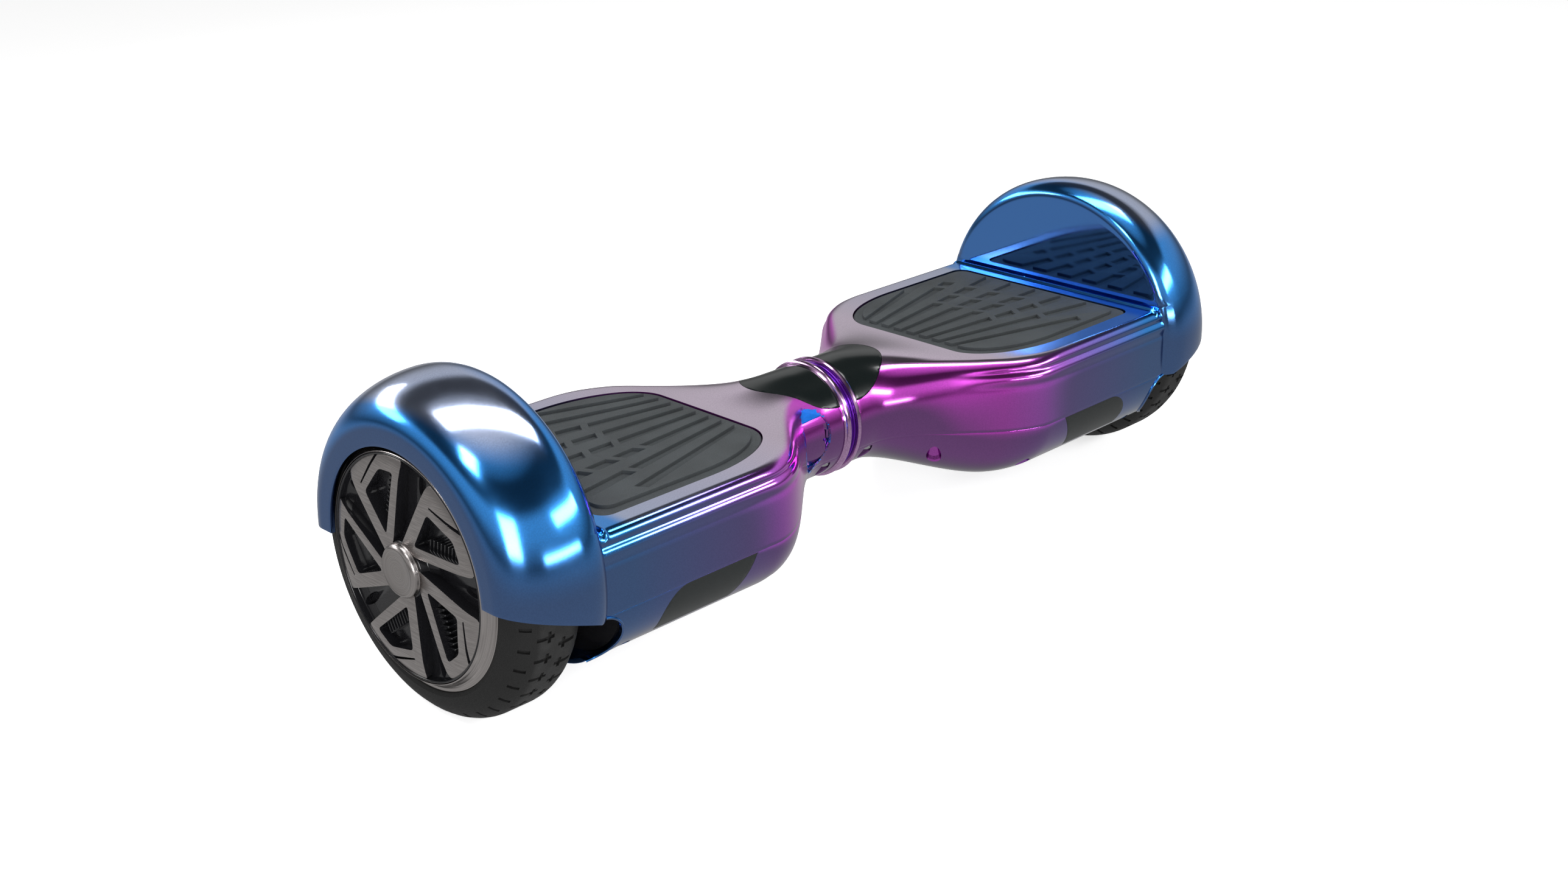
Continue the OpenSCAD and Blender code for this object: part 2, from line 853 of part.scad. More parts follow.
module rim() {
    plate_x = hub_x1 - hub_wall;
    boss_x = plate_x - bearing_w;
    color("gray") turned([
        [hub_in_r, hub_x0 + hub_wall], [rim_r, hub_x0 + hub_wall], [rim_r, tyre_x1 - 4.8],
        [sidewall_r - 0.5, tyre_x1 - 4.8], [sidewall_r - 0.5, tyre_x1 - 2.2],
        [sidewall_r - 2, tyre_x1 - 1.5], [cover_r + 0.5, tyre_x1 - 1.5], [cover_r + 0.5, hub_x1],
        [0, hub_x1], [0, plate_x], [bearing_r, plate_x], [bearing_r, boss_x],
        [bearing_r + 4, boss_x], [bearing_r + 4, plate_x], [hub_in_r, plate_x]
    ]);
}

module left_rim() {
    left() rim();
}

module right_rim() {
    rim();
}

module motor_cover() {
    color("darkgray") turned([
        [bearing_r, hub_x0 - 2.5], [bearing_r + 4, hub_x0 - 2.5], [bearing_r + 4, hub_x0],
        [rim_r, hub_x0], [rim_r, hub_x0 + hub_wall], [bearing_r + 4, hub_x0 + hub_wall],
        [bearing_r + 4, hub_x0 + bearing_w - 2.5], [bearing_r, hub_x0 + bearing_w - 2.5]
    ]);
}

module left_motor_cover() {
    left() motor_cover();
}

module right_motor_cover() {
    motor_cover();
}

module magnet_ring() {
    x0 = stator_x0 - 1;
    x1 = stator_x0 + stator_len + 1;
    color("darkslategray") turned([[magnet_r, x0], [hub_in_r, x0], [hub_in_r, x1], [magnet_r, x1]]);
}

module left_magnet_ring() {
    left() magnet_ring();
}

module right_magnet_ring() {
    magnet_ring();
}

module wheel_bearings() {
    bore = axle_r + shaft_gap;
    color("silver") for (x = [hub_x0 - 2.5, hub_x1 - hub_wall - bearing_w])
        turned([[bore, x], [bearing_r, x], [bearing_r, x + bearing_w], [bore, x + bearing_w]]);
}

module left_wheel_bearings() {
    left() wheel_bearings();
}

module right_wheel_bearings() {
    wheel_bearings();
}

module wheel_cover() {
    spokes = 5;
    color("black") {
        turned([[0, cover_x], [cover_r, cover_x], [cover_r, cap_x - 2.5], [cover_r - 1.5, cap_x - 2],
            [cover_r - 6, cap_x - 3], [cover_r - 6, cover_x + 2], [hub_cap_r + 2, cover_x + 2],
            [hub_cap_r + 2, cap_x - 1], [hub_cap_r + 1, cap_x], [0, cap_x]]);
        translate([cover_x + 1, 0, axle_z]) rotate([0, 90, 0]) for (i = [0 : spokes - 1])
            rotate([0, 0, 36 + i * 360 / spokes]) {
                translate([hub_cap_r, 4, 0]) cube([cover_r - hub_cap_r - 5, 7, cap_x - cover_x - 3]);
                translate([hub_cap_r, -4, 0]) rotate([0, 0, -24])
                    cube([cover_r - hub_cap_r - 7, 7, cap_x - cover_x - 3]);
            }
    }
}

module left_wheel_cover() {
    left() wheel_cover();
}

module right_wheel_cover() {
    wheel_cover();
}

module hub_cap() {
    color("silver") turned([[0, cap_x], [hub_cap_r, cap_x], [hub_cap_r, cap_x + hub_cap_t - 1.5],
        [hub_cap_r - 1.5, cap_x + hub_cap_t], [0, cap_x + hub_cap_t]]);
}

module left_hub_cap() {
    left() hub_cap();
}

module right_hub_cap() {
    hub_cap();
}

// ---- Charging port and power button -----------------------------------------------------------

module charge_socket() {
    front = -bay_floor + 0.1;
    back = front + 10.9;
    step = front + 4.4;
    color("black") difference() {
        union() {
            along_y(port_x, front, back, port_z, socket_r + 1.9);
            along_y(port_x, -bay_floor + floor_t, -bay_floor + floor_t + 1.5, port_z, socket_r + 4.6);
        }
        along_y(port_x, front - 1, step, port_z, socket_r);
        along_y(port_x, step - 1, back - 2, port_z, socket_r - 0.4);
    }
    color("gold") for (a = [90, 210, 330])
        along_y(port_x + 3.2 * cos(a), step + 0.3, back - 1, port_z + 3.2 * sin(a), 0.9, $fn = 24);
}

// Round cap in the bay, with a lift tab and a flexible hinge beside the neck ring
module charge_cap() {
    back = -bay_floor - run_gap;
    front = back - cap_t;
    color("rebeccapurple") {
        along_y(port_x, front, back, port_z, cap_r);
        along_y(port_x - 7, front - 0.8, back - 1, port_z, 4);
        block(port_x - 9, port_x - 5, front - 0.8, back - 1, port_z - 12, port_z);
        translate([hinge_x, front - 0.2, port_z - 2.5]) cylinder(r = 1.2, h = 5, $fn = 32);
    }
}

module power_button() {
    color("black") along_y(port_x, button_in, wall_w(-port_x) + 1, port_z, button_r);
}

module power_switch() {
    color("dimgray") {
        along_y(port_x, 19, 28.9, port_z, switch_r);
        along_y(port_x, 28, button_in - 1.3, port_z, 2.5);
    }
}

// ---- Electrics ----------------------------------------------------------------------------------

module battery_pack() {
    color("dodgerblue") block(battery_x0, battery_x1, -battery_w / 2, battery_w / 2, battery_z0,
        plate_z);
}

module battery_strap() {
    x = (battery_x0 + battery_x1) / 2;
    y = frame_half_w - 0.5;
    color("silver") {
        block(x - 12, x + 12, -y, y, battery_z0 - 1.6, battery_z0);
        for (s = sides)
            block(x - 12, x + 12, min(s * y, s * (y - web_t)), max(s * y, s * (y - web_t)),
                battery_z0 - 1, frame_z0);
    }
}

module main_board() {
    w = battery_w / 2 + 4;
    plug_x = board_x1 - 10;
    color("darkgreen") block(board_x0, board_x1, -w, w, board_z, board_z + board_t);
    color("black") {
        block(plug_x, board_x1, -8, 8, board_z - 12, board_z + 0.5);
        block(board_x0, board_x0 + 8, -7, 7, board_z - 12, board_z + 0.5);
    }
    color("silver") block(board_x0 + 14, board_x0 + 22, -w + 4, w - 4, board_z - 14, board_z + 0.5);
    color("black") for (i = [0 : 2])
        translate([board_x0 + 40 + 20 * i, -w + 14, board_z - 22]) cylinder(r = 8, h = 22.5);
    color("black") for (i = [0 : 1])
        translate([board_x0 + 44 + 24 * i, w - 18, 0]) block(-9, 9, -9, 9, board_z - 6, board_z + 0.5);
}

module board_standoffs() {
    w = battery_w / 2 - 1;
    color("goldenrod") for (s = sides) for (x = [board_x0 + 5, board_x1 - 5])
        translate([x, s * w, board_z + board_t]) cylinder(r = 3, h = plate_z - board_z - board_t);
}

// A tube that follows its route's points, one ring at each point
module tube(route, r) {
    count = len(route);
    rings = [for (i = [0 : count - 1])
        let (d = unit(route[min(i + 1, count - 1)] - route[max(i - 1, 0)]))
        let (u = unit(cross([0, 0, 1], d)), v = cross(d, u))
        [for (k = [0 : 7]) route[i] + r * (cos(45 * k) * u + sin(45 * k) * v)]];
    loft([for (ring = rings) reversed(ring)]);
}

module battery_cable() {
    color("red") along_x(board_x1 + run_gap, battery_x0, lead_r, -lead_y, pivot_z);
}

// From the right axle, under the battery and through the hollow shaft to the main board
module right_motor_cable() {
    drop_x = battery_x0 - 3.2;
    under = battery_z0 - 5.4;
    color("black") tube([
        [board_x1 + run_gap, lead_y, pivot_z], [frame_x0, lead_y, pivot_z],
        [shaft_end + 1, lead_y, pivot_z - 0.8], [drop_x, lead_y + 2, pivot_z - 6],
        [drop_x, lead_y + 6, battery_z0 + 6], [drop_x + 0.7, lead_y + 8, battery_z0 - 3],
        [battery_x0 + 6, lead_y + 8, under], [battery_x1 + 1, lead_y + 8, under],
        [battery_x1 + 5, lead_y + 5, battery_z0 + 4], [battery_x1 + 6, lead_y, axle_z - 8],
        [axle_x0 - 4, 0, axle_z - 0.5], [axle_x0 - run_gap, 0, axle_z]
    ], lead_r);
}

module left_motor_cable() {
    color("black") along_x(-axle_x0, board_x0, lead_r);
}

left_upper_shell();
left_lower_shell();
left_frame();
left_neck_trim();
left_neck_ring();
left_light_lens();
left_light_board();
left_sensor_board();
left_foot_pad();
left_axle();
left_axle_clamp();
left_clamp_screws();
left_shell_screws();
left_stator();
left_tyre();
left_rim();
left_motor_cover();
left_magnet_ring();
left_wheel_bearings();
left_wheel_cover();
left_hub_cap();
left_motor_cable();
pivot_shaft();
neck_seal();
main_board();
board_standoffs();
charge_socket();
charge_cap();
power_button();
power_switch();
right_upper_shell();
right_lower_shell();
right_frame();
right_neck_trim();
right_neck_ring();
right_light_lens();
right_light_board();
right_sensor_board();
right_foot_pad();
right_axle();
right_axle_clamp();
right_clamp_screws();
right_shell_screws();
right_stator();
right_tyre();
right_rim();
right_motor_cover();
right_magnet_ring();
right_wheel_bearings();
right_wheel_cover();
right_hub_cap();
right_motor_cable();
pivot_bushes();
shaft_circlip();
twist_limit_pin();
battery_pack();
battery_strap();
battery_cable();
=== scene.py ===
import math

import bmesh
import bpy
from bpy.props import FloatProperty, FloatVectorProperty, IntProperty, PointerProperty
from mathutils import Matrix, Vector


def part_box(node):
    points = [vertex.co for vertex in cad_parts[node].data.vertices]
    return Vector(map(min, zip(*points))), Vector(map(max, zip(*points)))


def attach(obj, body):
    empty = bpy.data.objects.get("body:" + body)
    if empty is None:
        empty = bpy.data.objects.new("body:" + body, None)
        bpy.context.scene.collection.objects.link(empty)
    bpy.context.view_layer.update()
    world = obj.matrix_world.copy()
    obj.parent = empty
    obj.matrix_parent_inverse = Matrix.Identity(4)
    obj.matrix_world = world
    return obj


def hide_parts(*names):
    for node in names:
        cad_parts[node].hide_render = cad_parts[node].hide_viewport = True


bl_info = {
    "name": "Self Balancing Board",
    "version": (1, 0, 0),
    "blender": (4, 5, 0),
    "location": "View3D > Sidebar > Board",
    "description": "Builds the looks of a two-wheel self balancing board around its CAD model",
    "category": "Object",
}

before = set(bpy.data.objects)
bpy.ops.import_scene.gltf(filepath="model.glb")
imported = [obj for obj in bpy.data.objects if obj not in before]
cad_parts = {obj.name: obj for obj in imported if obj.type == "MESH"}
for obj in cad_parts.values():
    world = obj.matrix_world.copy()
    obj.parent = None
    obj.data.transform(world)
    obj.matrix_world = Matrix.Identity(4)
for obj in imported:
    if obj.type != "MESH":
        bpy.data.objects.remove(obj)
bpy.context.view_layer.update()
MM = 0.001


def box_mm(node):
    low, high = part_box(node)
    return low / MM, high / MM


SHELL_LOW, SHELL_HIGH = box_mm("right_upper_shell")
PAD_LOW, PAD_HIGH = box_mm("right_foot_pad")
TYRE_LOW, TYRE_HIGH = box_mm("right_tyre")
SEAL_LOW, SEAL_HIGH = box_mm("neck_seal")
LENS_LOW = box_mm("right_light_lens")[0]

AXLE_Z = (TYRE_LOW.z + TYRE_HIGH.z) / 2
WHEEL_R = (TYRE_HIGH.z - TYRE_LOW.z) / 2
PIVOT_Z = (SEAL_LOW.z + SEAL_HIGH.z) / 2
NECK_R = (SEAL_HIGH.z - SEAL_LOW.z) / 2
HALF_LENGTH = SHELL_HIGH.x
NECK_X = SHELL_LOW.x
PART_Z = SHELL_LOW.z
BELLY_Z = box_mm("right_lower_shell")[0].z
DECK_Z = PAD_HIGH.z - 1.4
WELL_X = PAD_HIGH.x + 13.5
FENDER_R = SHELL_HIGH.z - AXLE_Z
PORT_X, PORT_Z = -37.0, PIVOT_Z + 4.5


# ---- Sizes and colours that a user may change ----------------------------------------------


def millimetres(name, description, default):
    return FloatProperty(
        name=name, description=description, default=default * MM, min=0.0, precision=4,
        subtype="DISTANCE", unit="LENGTH"
    )


def colour(name, description, default):
    return FloatVectorProperty(
        name=name, description=description, default=default, subtype="COLOR", size=3, min=0.0, max=1.0
    )


class BoardSizes(bpy.types.PropertyGroup):
    wall: millimetres("Shell wall", "Wall thickness of the shells", 2.5)
    ridge_half_w: millimetres("Deck half width", "Half width of the deck at its ridges", 83.0)
    ridge_bevel: millimetres("Side stand-out", "How far the side wall stands out from the ridge", 3.6)
    groove: millimetres("Groove depth", "Depth of the groove below the deck ridge", 1.0)
    crown_out_w: millimetres("Outer crown width", "Width of the fender's outer rounding", 41.0)
    crown_out_h: millimetres("Outer crown height", "Height of the fender's outer rounding", 23.0)
    crown_in_w: millimetres("Inner crown width", "Width of the fender's inner rounding", 15.5)
    crown_in_h: millimetres("Inner crown height", "Height of the fender's inner rounding", 9.0)
    arch_r: millimetres("Wheel arch radius", "Radius of the opening in the fender's outer face", 62.7)
    rib_h: millimetres("Rib height", "Height of the raised ribs on the foot pads", 2.0)
    tread_depth: millimetres("Tread depth", "Depth of the tread grooves", 1.2)
    tread_pitches: IntProperty(
        name="Tread pitches", description="Repeats of the tread pattern round a tyre", default=40, min=12
    )


class BoardColours(bpy.types.PropertyGroup):
    fender_blue: colour("Fender blue", "Plated colour of the fender's rounded faces", (0.06, 0.35, 0.95))
    flare_magenta: colour("Flare magenta", "Plated colour of the neck's rounded faces", (0.86, 0.11, 0.86))
    # Side steel and side purple are painted shade: upright faces are made darker and duller than tilted ones.
    side_steel_painted_shade: colour("Side steel", "Plated colour of the upright faces at the wheels", (0.095, 0.17, 0.36))
    side_purple_painted_shade: colour("Side purple", "Plated colour of the upright faces at the neck", (0.24, 0.10, 0.30))
    # Top blue and top mauve are painted highlight: level faces are made paler than the plating's own colour.
    top_blue_painted_highlight: colour("Top blue", "Plated colour of the level faces at the wheels", (0.52, 0.60, 0.82))
    top_mauve_painted_highlight: colour("Top mauve", "Plated colour of the level faces at the neck", (0.76, 0.64, 0.78))
    # Panel blue is a painted reflection of the pads and deck on the mirror-like inner faces.
    panel_painted_reflection: colour("Panel blue", "Mirror-like faces between fender and deck", (0.10, 0.28, 0.72))
    # Underside is painted shade: faces that look down are darkened.
    underside: colour("Underside", "Tint of the faces that look down", (0.10, 0.10, 0.12))
    port_blue: colour("Port blue", "Colour inside the charging bay", (0.01, 0.20, 0.85))
    rubber: colour("Pad rubber", "Colour of the foot pads", (0.024, 0.028, 0.030))
    tyre: colour("Tyre rubber", "Colour of the tyres", (0.0055, 0.0055, 0.0055))
    silver: colour("Wheel silver", "Brushed metal of the wheels", (0.44, 0.41, 0.40))


def size(name):
    """One of the sizes above, in mm."""
    return getattr(bpy.context.scene.board_sizes, name) / MM


def colours():
    return bpy.context.scene.board_colours


# ---- Outline of the shells, in mm ------------------------------------------------------------


def smooth(u):
    u = max(0.0, min(1.0, u))
    return u * u * (3 - 2 * u)


def mix(a, b, k):
    return a * (1 - k) + b * k


def ridge_w(x, length=110):
    return mix(NECK_R - size("ridge_bevel"), size("ridge_half_w"), smooth((x - 20) / length))


def wall_w(x):
    return ridge_w(x, 97) + size("ridge_bevel")


def crest_z(x):
    return mix(PIVOT_Z + NECK_R, DECK_Z, smooth((x - 20) / 65))


def under_z(x):
    return mix(PIVOT_Z - NECK_R, BELLY_Z, smooth((x - 20) / 85))


def boxy(x):
    return smooth((x - 25) / 70)


FLAT_STEPS = 28
SIDE_STEPS = 44


def half_columns():
    """Places along half of the upper section: share of the level deck, then depth below it."""
    last = math.atan2(78.2, DECK_Z - AXLE_Z)
    level = [(math.tan(last * k / FLAT_STEPS) / math.tan(last), None) for k in range(FLAT_STEPS)]
    return level + [(None, (k / SIDE_STEPS) ** 2.1) for k in range(SIDE_STEPS + 1)]


def moulding(x, drop):
    """The two beads and the groove that run below the deck ridge."""
    fade = smooth((x - 62) / 26)
    groove = math.exp(-(((drop - 6.8) / 1.5) ** 2)) + 0.3 * math.exp(-(((drop - 15.4) / 1.6) ** 2))
    bead = 0.5 * math.exp(-(((drop - 10.8) / 2.4) ** 2))
    return fade * size("groove") * (bead - groove)


def upper_point(x, column):
    share, depth = column
    r, w, top = ridge_w(x), wall_w(x), crest_z(x)
    side = top - PART_Z
    if depth is None:
        box = (share * (r - 4.8), top)
        turn = 0.29 * share
    else:
        d = depth * side
        fall = math.exp(-0.62 * d**0.53 - 0.0035 * d * d)
        box = (w - (w - r + 4.8) * fall + moulding(x, d), top - d)
        turn = 0.29 + 0.71 * depth**0.62
    low = math.asin((PIVOT_Z - PART_Z) / (PIVOT_Z - under_z(x)))
    a = mix(math.pi / 2, -low, turn)
    h = top - PIVOT_Z if a > 0 else PIVOT_Z - under_z(x)
    k = boxy(x)
    return mix(w * math.cos(a), box[0], k), mix(PIVOT_Z + h * math.sin(a), box[1], k)


def lower_point(x, share):
    """share runs from 0 at the parting line to 1 under the middle."""
    w, low = wall_w(x), under_z(x)
    part = math.asin((PIVOT_Z - PART_Z) / (PIVOT_Z - low))
    a = mix(part, math.pi / 2, share)
    rounded = (w * math.cos(a), PIVOT_Z - (PIVOT_Z - low) * math.sin(a))
    if share < 0.8:
        b = math.pi / 2 * share / 0.8
        box = (w - 0.52 * w * (1 - math.cos(b)), PART_Z - (PART_Z - low) * math.sin(b))
    else:
        box = (0.48 * w * (1 - share) / 0.2, low)
    k = boxy(x)
    return mix(rounded[0], box[0], k), mix(rounded[1], box[1], k)


def deck_rows():
    flare = [mix(NECK_X, 132, k / 54) for k in range(54)]
    deck = [mix(132, WELL_X - 9, k / 22) for k in range(22)]
    return flare + deck


def fender_path(start_r):
    """Points (radius, x) from the foot of the fender, up its inner face and over to its lip."""
    in_r, in_x = FENDER_R - size("crown_in_h"), WELL_X + size("crown_in_w")
    out_r, out_x = FENDER_R - size("crown_out_h"), HALF_LENGTH - size("crown_out_w")
    rise = max(0.0, min(0.99, (start_r - in_r) / size("crown_in_h")))
    a0 = math.asin(rise)
    points = [(start_r, WELL_X)] if start_r < in_r - 0.5 else []
    for k in range(13):
        a = mix(a0, math.pi / 2, k / 12)
        points.append((in_r + size("crown_in_h") * math.sin(a), in_x - size("crown_in_w") * math.cos(a)))
    inner = resample(points, 30)
    outer = [
        (out_r + size("crown_out_h") * math.cos(a), out_x + size("crown_out_w") * math.sin(a))
        for a in [math.pi / 2 * k / 34 for k in range(1, 35)]
    ]
    face = [(mix(out_r, size("arch_r"), k / 4), HALF_LENGTH) for k in range(1, 5)]
    return inner + outer + face


def resample(points, count):
    lengths = [0.0]
    for a, b in zip(points, points[1:]):
        lengths.append(lengths[-1] + math.dist(a, b))
    found = []
    k = 0
    for i in range(count):
        target = lengths[-1] * i / (count - 1)
        while k < len(points) - 2 and lengths[k + 1] < target:
            k += 1
        f = (target - lengths[k]) / max(1e-9, lengths[k + 1] - lengths[k])
        found.append(tuple(mix(a, b, f) for a, b in zip(points[k], points[k + 1])))
    return found


def fender_foot_z(x):
    """Height of the fender's lower ends, which rise towards the outer face."""
    return mix(PART_Z, AXLE_Z, max(0.0, (x - WELL_X - 8) / (HALF_LENGTH - WELL_X - 8)) ** 0.85)


def upper_outline():
    """Rows of points of the whole upper shell, neck to fender lip, each from rear to front."""
    half = half_columns()
    rows = []
    for x in deck_rows():
        pts = [upper_point(x, c) for c in half]
        rows.append([(x, y, z) for y, z in reversed(pts)] + [(x, -y, z) for y, z in pts[1:]])
    foot = [upper_point(WELL_X, c) for c in half]
    paths = []
    for y, z in foot:
        radius = math.hypot(y, z - AXLE_Z)
        paths.append((math.atan2(z - AXLE_Z, y), fender_path(radius)))
    first = paths[-1][0]
    for back in [9, 7.4, 6.0, 5.0, 4.4, 3.9, 3.4, 2.9, 2.4, 1.8, 1.2, 0.6]:
        row = []
        for (y, z), column in zip(foot, half):
            level = 1.0 if column[1] is None else math.exp(-((column[1] / 0.09) ** 2))
            bead = 1.5 * math.exp(-(((back - 3.6) / 0.9) ** 2)) - 0.5 * math.exp(-(((back - 1.6) / 0.6) ** 2))
            row.append((WELL_X - back, y, z + level * bead))
        if back < 9:
            rows.append(mirrored_row(row))
    for i in range(len(paths[0][1])):
        row = []
        for angle, path in paths:
            r, x = path[i]
            low = math.asin((fender_foot_z(x) - AXLE_Z) / r)
            low = min(low, 0.0) if i else first
            a = math.pi / 2 + (angle - math.pi / 2) * (math.pi / 2 - low) / (math.pi / 2 - first)
            row.append((x, r * math.cos(a), AXLE_Z + r * math.sin(a)))
        rows.append(mirrored_row(row))
    return rows


def mirrored_row(row):
    return list(reversed(row)) + [(x, -y, z) for x, y, z in row[1:]]


def lower_outline(steps=34):
    rows = []
    for x in deck_rows() + [WELL_X - 9, WELL_X - 6, WELL_X - 3, WELL_X, WELL_X + 2.5]:
        pts = [lower_point(min(x, WELL_X), k / steps) for k in range(steps + 1)]
        rows.append([(x, -y, z) for y, z in pts] + [(x, y, z) for y, z in reversed(pts[:-1])])
    return rows


# ---- Modelling helpers ---------------------------------------------------------------------------


def deselect():
    active = bpy.context.view_layer.objects.active
    if active and active.mode != "OBJECT":
        bpy.ops.object.mode_set(mode="OBJECT")
    bpy.ops.object.select_all(action="DESELECT")


def pick(*objs):
    deselect()
    for obj in objs:
        obj.select_set(True)
    bpy.context.view_layer.objects.active = objs[0]
    return objs[0]


def edit(obj, select=None):
    """Opens obj in edit mode with the faces for which select(centre, normal) holds selected."""
    pick(obj)
    bpy.ops.object.mode_set(mode="EDIT")
    bpy.ops.mesh.select_mode(type="FACE")
    bpy.ops.mesh.select_all(action="SELECT" if select is None else "DESELECT")
    if select is not None:
        bpy.ops.object.mode_set(mode="OBJECT")
        for face in obj.data.polygons:
            face.select = bool(select(face.center / MM, face.normal))
        bpy.ops.object.mode_set(mode="EDIT")


def leave():
    bpy.ops.object.mode_set(mode="OBJECT")


def wrapped_grid(name, rows):
    """A grid primitive whose points are laid on the given rows."""
    deselect()
    cols = len(rows[0]) - 1
    bpy.ops.mesh.primitive_grid_add(x_subdivisions=cols, y_subdivisions=len(rows) - 1, size=1)
    obj = bpy.context.object
    obj.name = obj.data.name = name
    flat = [c * MM for row in rows for point in row for c in point]
    obj.data.vertices.foreach_set("co", flat)
    obj.data.update()
    return obj


def closed_form(name, rows):
    """The same grid closed by a strip between its long sides and a face at each end."""
    obj = wrapped_grid(name, rows)
    n, m = len(rows[0]), len(rows)
    mesh = bmesh.new()
    mesh.from_mesh(obj.data)
    mesh.verts.ensure_lookup_table()
    v = mesh.verts
    for i in range(m - 1):
        mesh.faces.new([v[i * n], v[(i + 1) * n], v[(i + 2) * n - 1], v[(i + 1) * n - 1]])
    mesh.faces.new([v[k] for k in range(n)])
    mesh.faces.new([v[(m - 1) * n + k] for k in range(n)])
    bmesh.ops.recalc_face_normals(mesh, faces=mesh.faces)
    mesh.to_mesh(obj.data)
    mesh.free()
    return obj


def prism(name, outline, axis, low, high):
    """A filled circle primitive shaped to the outline and extruded along Y or Z."""
    deselect()
    bpy.ops.mesh.primitive_circle_add(vertices=len(outline), radius=1, fill_type="NGON")
    obj = bpy.context.object
    obj.name = obj.data.name = name
    for vertex, (a, b) in zip(obj.data.vertices, outline):
        vertex.co = Vector((a, low, b) if axis == "Y" else (a, b, low)) * MM
    edit(obj)
    step = (high - low) * MM
    move = (0, step, 0) if axis == "Y" else (0, 0, step)
    bpy.ops.mesh.extrude_region_move(TRANSFORM_OT_translate={"value": move})
    bpy.ops.mesh.select_all(action="SELECT")
    bpy.ops.mesh.normals_make_consistent(inside=False)
    leave()
    return obj


def lathe(name, profile, segments=192, centre=(0.0, AXLE_Z), axis_y=False):
    """A closed outline of (radius, x) points spun about the wheel axis, or about another line."""
    deselect()
    bpy.ops.mesh.primitive_circle_add(vertices=len(profile), radius=1, fill_type="NOTHING")
    obj = bpy.context.object
    obj.name = obj.data.name = name
    for vertex, (r, along) in zip(obj.data.vertices, profile):
        if axis_y:
            vertex.co = Vector((centre[0], along, centre[1] + max(r, 0.0))) * MM
        else:
            vertex.co = Vector((along, centre[0], centre[1] + max(r, 0.0))) * MM
    pick(obj)
    bpy.ops.object.mode_set(mode="EDIT")
    bpy.ops.mesh.select_mode(type="VERT")
    bpy.ops.mesh.select_all(action="SELECT")
    middle = (centre[0], 0, centre[1]) if axis_y else (0, centre[0], centre[1])
    bpy.ops.mesh.spin(
        steps=segments, angle=2 * math.pi, center=Vector(middle) * MM,
        axis=(0, 1, 0) if axis_y else (1, 0, 0), use_auto_merge=False,
    )
    bpy.ops.mesh.select_all(action="SELECT")
    bpy.ops.mesh.remove_doubles(threshold=0.00001)
    bpy.ops.mesh.normals_make_consistent(inside=False)
    leave()
    return obj


def rounded(profile, radius=0.5, steps=3):
    """The same closed outline with its corners cut to small arcs."""
    found = []
    n = len(profile)
    for i, p in enumerate(profile):
        here, before, after = Vector(p), Vector(profile[i - 1]), Vector(profile[(i + 1) % n])
        a, b = before - here, after - here
        if here.x <= 0.01 or a.length < 1e-6 or b.length < 1e-6:
            found.append(tuple(p))
            continue
        cut = min(radius, a.length * 0.4, b.length * 0.4)
        p0, p1 = here + a.normalized() * cut, here + b.normalized() * cut
        for k in range(steps + 1):
            t = k / steps
            found.append(tuple(p0 * (1 - t) ** 2 + here * 2 * t * (1 - t) + p1 * t**2))
    return found


def apply(obj, kind, **settings):
    pick(obj)
    modifier = obj.modifiers.new(kind.title(), kind)
    for key, value in settings.items():
        setattr(modifier, key, value)
    bpy.ops.object.modifier_apply(modifier=modifier.name)
    return obj


def carve(obj, tool, how="DIFFERENCE", keep=False):
    """Cuts obj with a closed tool, or keeps only what lies in it."""
    apply(obj, "BOOLEAN", operation=how, solver="MANIFOLD", object=tool)
    if not obj.data.polygons:
        raise RuntimeError(f"{obj.name} came out empty")
    if not keep:
        bpy.data.objects.remove(tool)
    return obj


def soften(obj, width, angle=40, segments=2):
    return apply(
        obj, "BEVEL", width=width * MM, segments=segments, limit_method="ANGLE",
        angle_limit=math.radians(angle), harden_normals=False,
    )


def cylinder(name, x, y, z, r, depth, axis, vertices=64):
    turn = {"X": (0, math.pi / 2, 0), "Y": (math.pi / 2, 0, 0), "Z": (0, 0, 0)}[axis]
    deselect()
    bpy.ops.mesh.primitive_cylinder_add(
        vertices=vertices, radius=r * MM, depth=depth * MM, location=Vector((x, y, z)) * MM, rotation=turn
    )
    obj = bpy.context.object
    obj.name = obj.data.name = name
    settle(obj)
    return obj


def block(name, low, high):
    deselect()
    middle = (Vector(low) + Vector(high)) / 2
    bpy.ops.mesh.primitive_cube_add(size=1, location=middle * MM)
    obj = bpy.context.object
    obj.name = obj.data.name = name
    obj.scale = (Vector(high) - Vector(low)) * MM
    settle(obj)
    return obj


def settle(obj):
    pick(obj)
    bpy.ops.object.transform_apply(location=True, rotation=True, scale=True)


def join(name, objs):
    pick(*objs)
    if len(objs) > 1:
        bpy.ops.object.join()
    obj = bpy.context.object
    obj.name = obj.data.name = name
    return obj


def twin(obj, name):
    """A copy of obj with a mesh of its own."""
    new = obj.copy()
    new.data = obj.data.copy()
    new.name = new.data.name = name
    bpy.context.scene.collection.objects.link(new)
    return new


def other_side(obj, name):
    """A copy of obj mirrored to the left half."""
    new = twin(obj, name)
    new.data.transform(Matrix.Scale(-1, 4, (1, 0, 0)))
    new.data.flip_normals()
    return new


def bead(name, points, radius, cyclic=False):
    """A thin round bead along the points."""
    deselect()
    bpy.ops.curve.primitive_nurbs_path_add()
    obj = bpy.context.object
    obj.name = name
    curve = obj.data
    curve.splines.clear()
    spline = curve.splines.new("POLY")
    spline.points.add(len(points) - 1)
    for point, place in zip(spline.points, points):
        point.co = (*(Vector(place) * MM), 1)
    spline.use_cyclic_u = cyclic
    curve.bevel_depth = radius * MM
    curve.bevel_resolution = 3
    curve.use_fill_caps = not cyclic
    pick(obj)
    bpy.ops.object.convert(target="MESH")
    obj = bpy.context.object
    settle(obj)
    edit(obj)
    bpy.ops.mesh.remove_doubles(threshold=0.000001)
    bpy.ops.mesh.normals_make_consistent(inside=False)
    leave()
    return obj


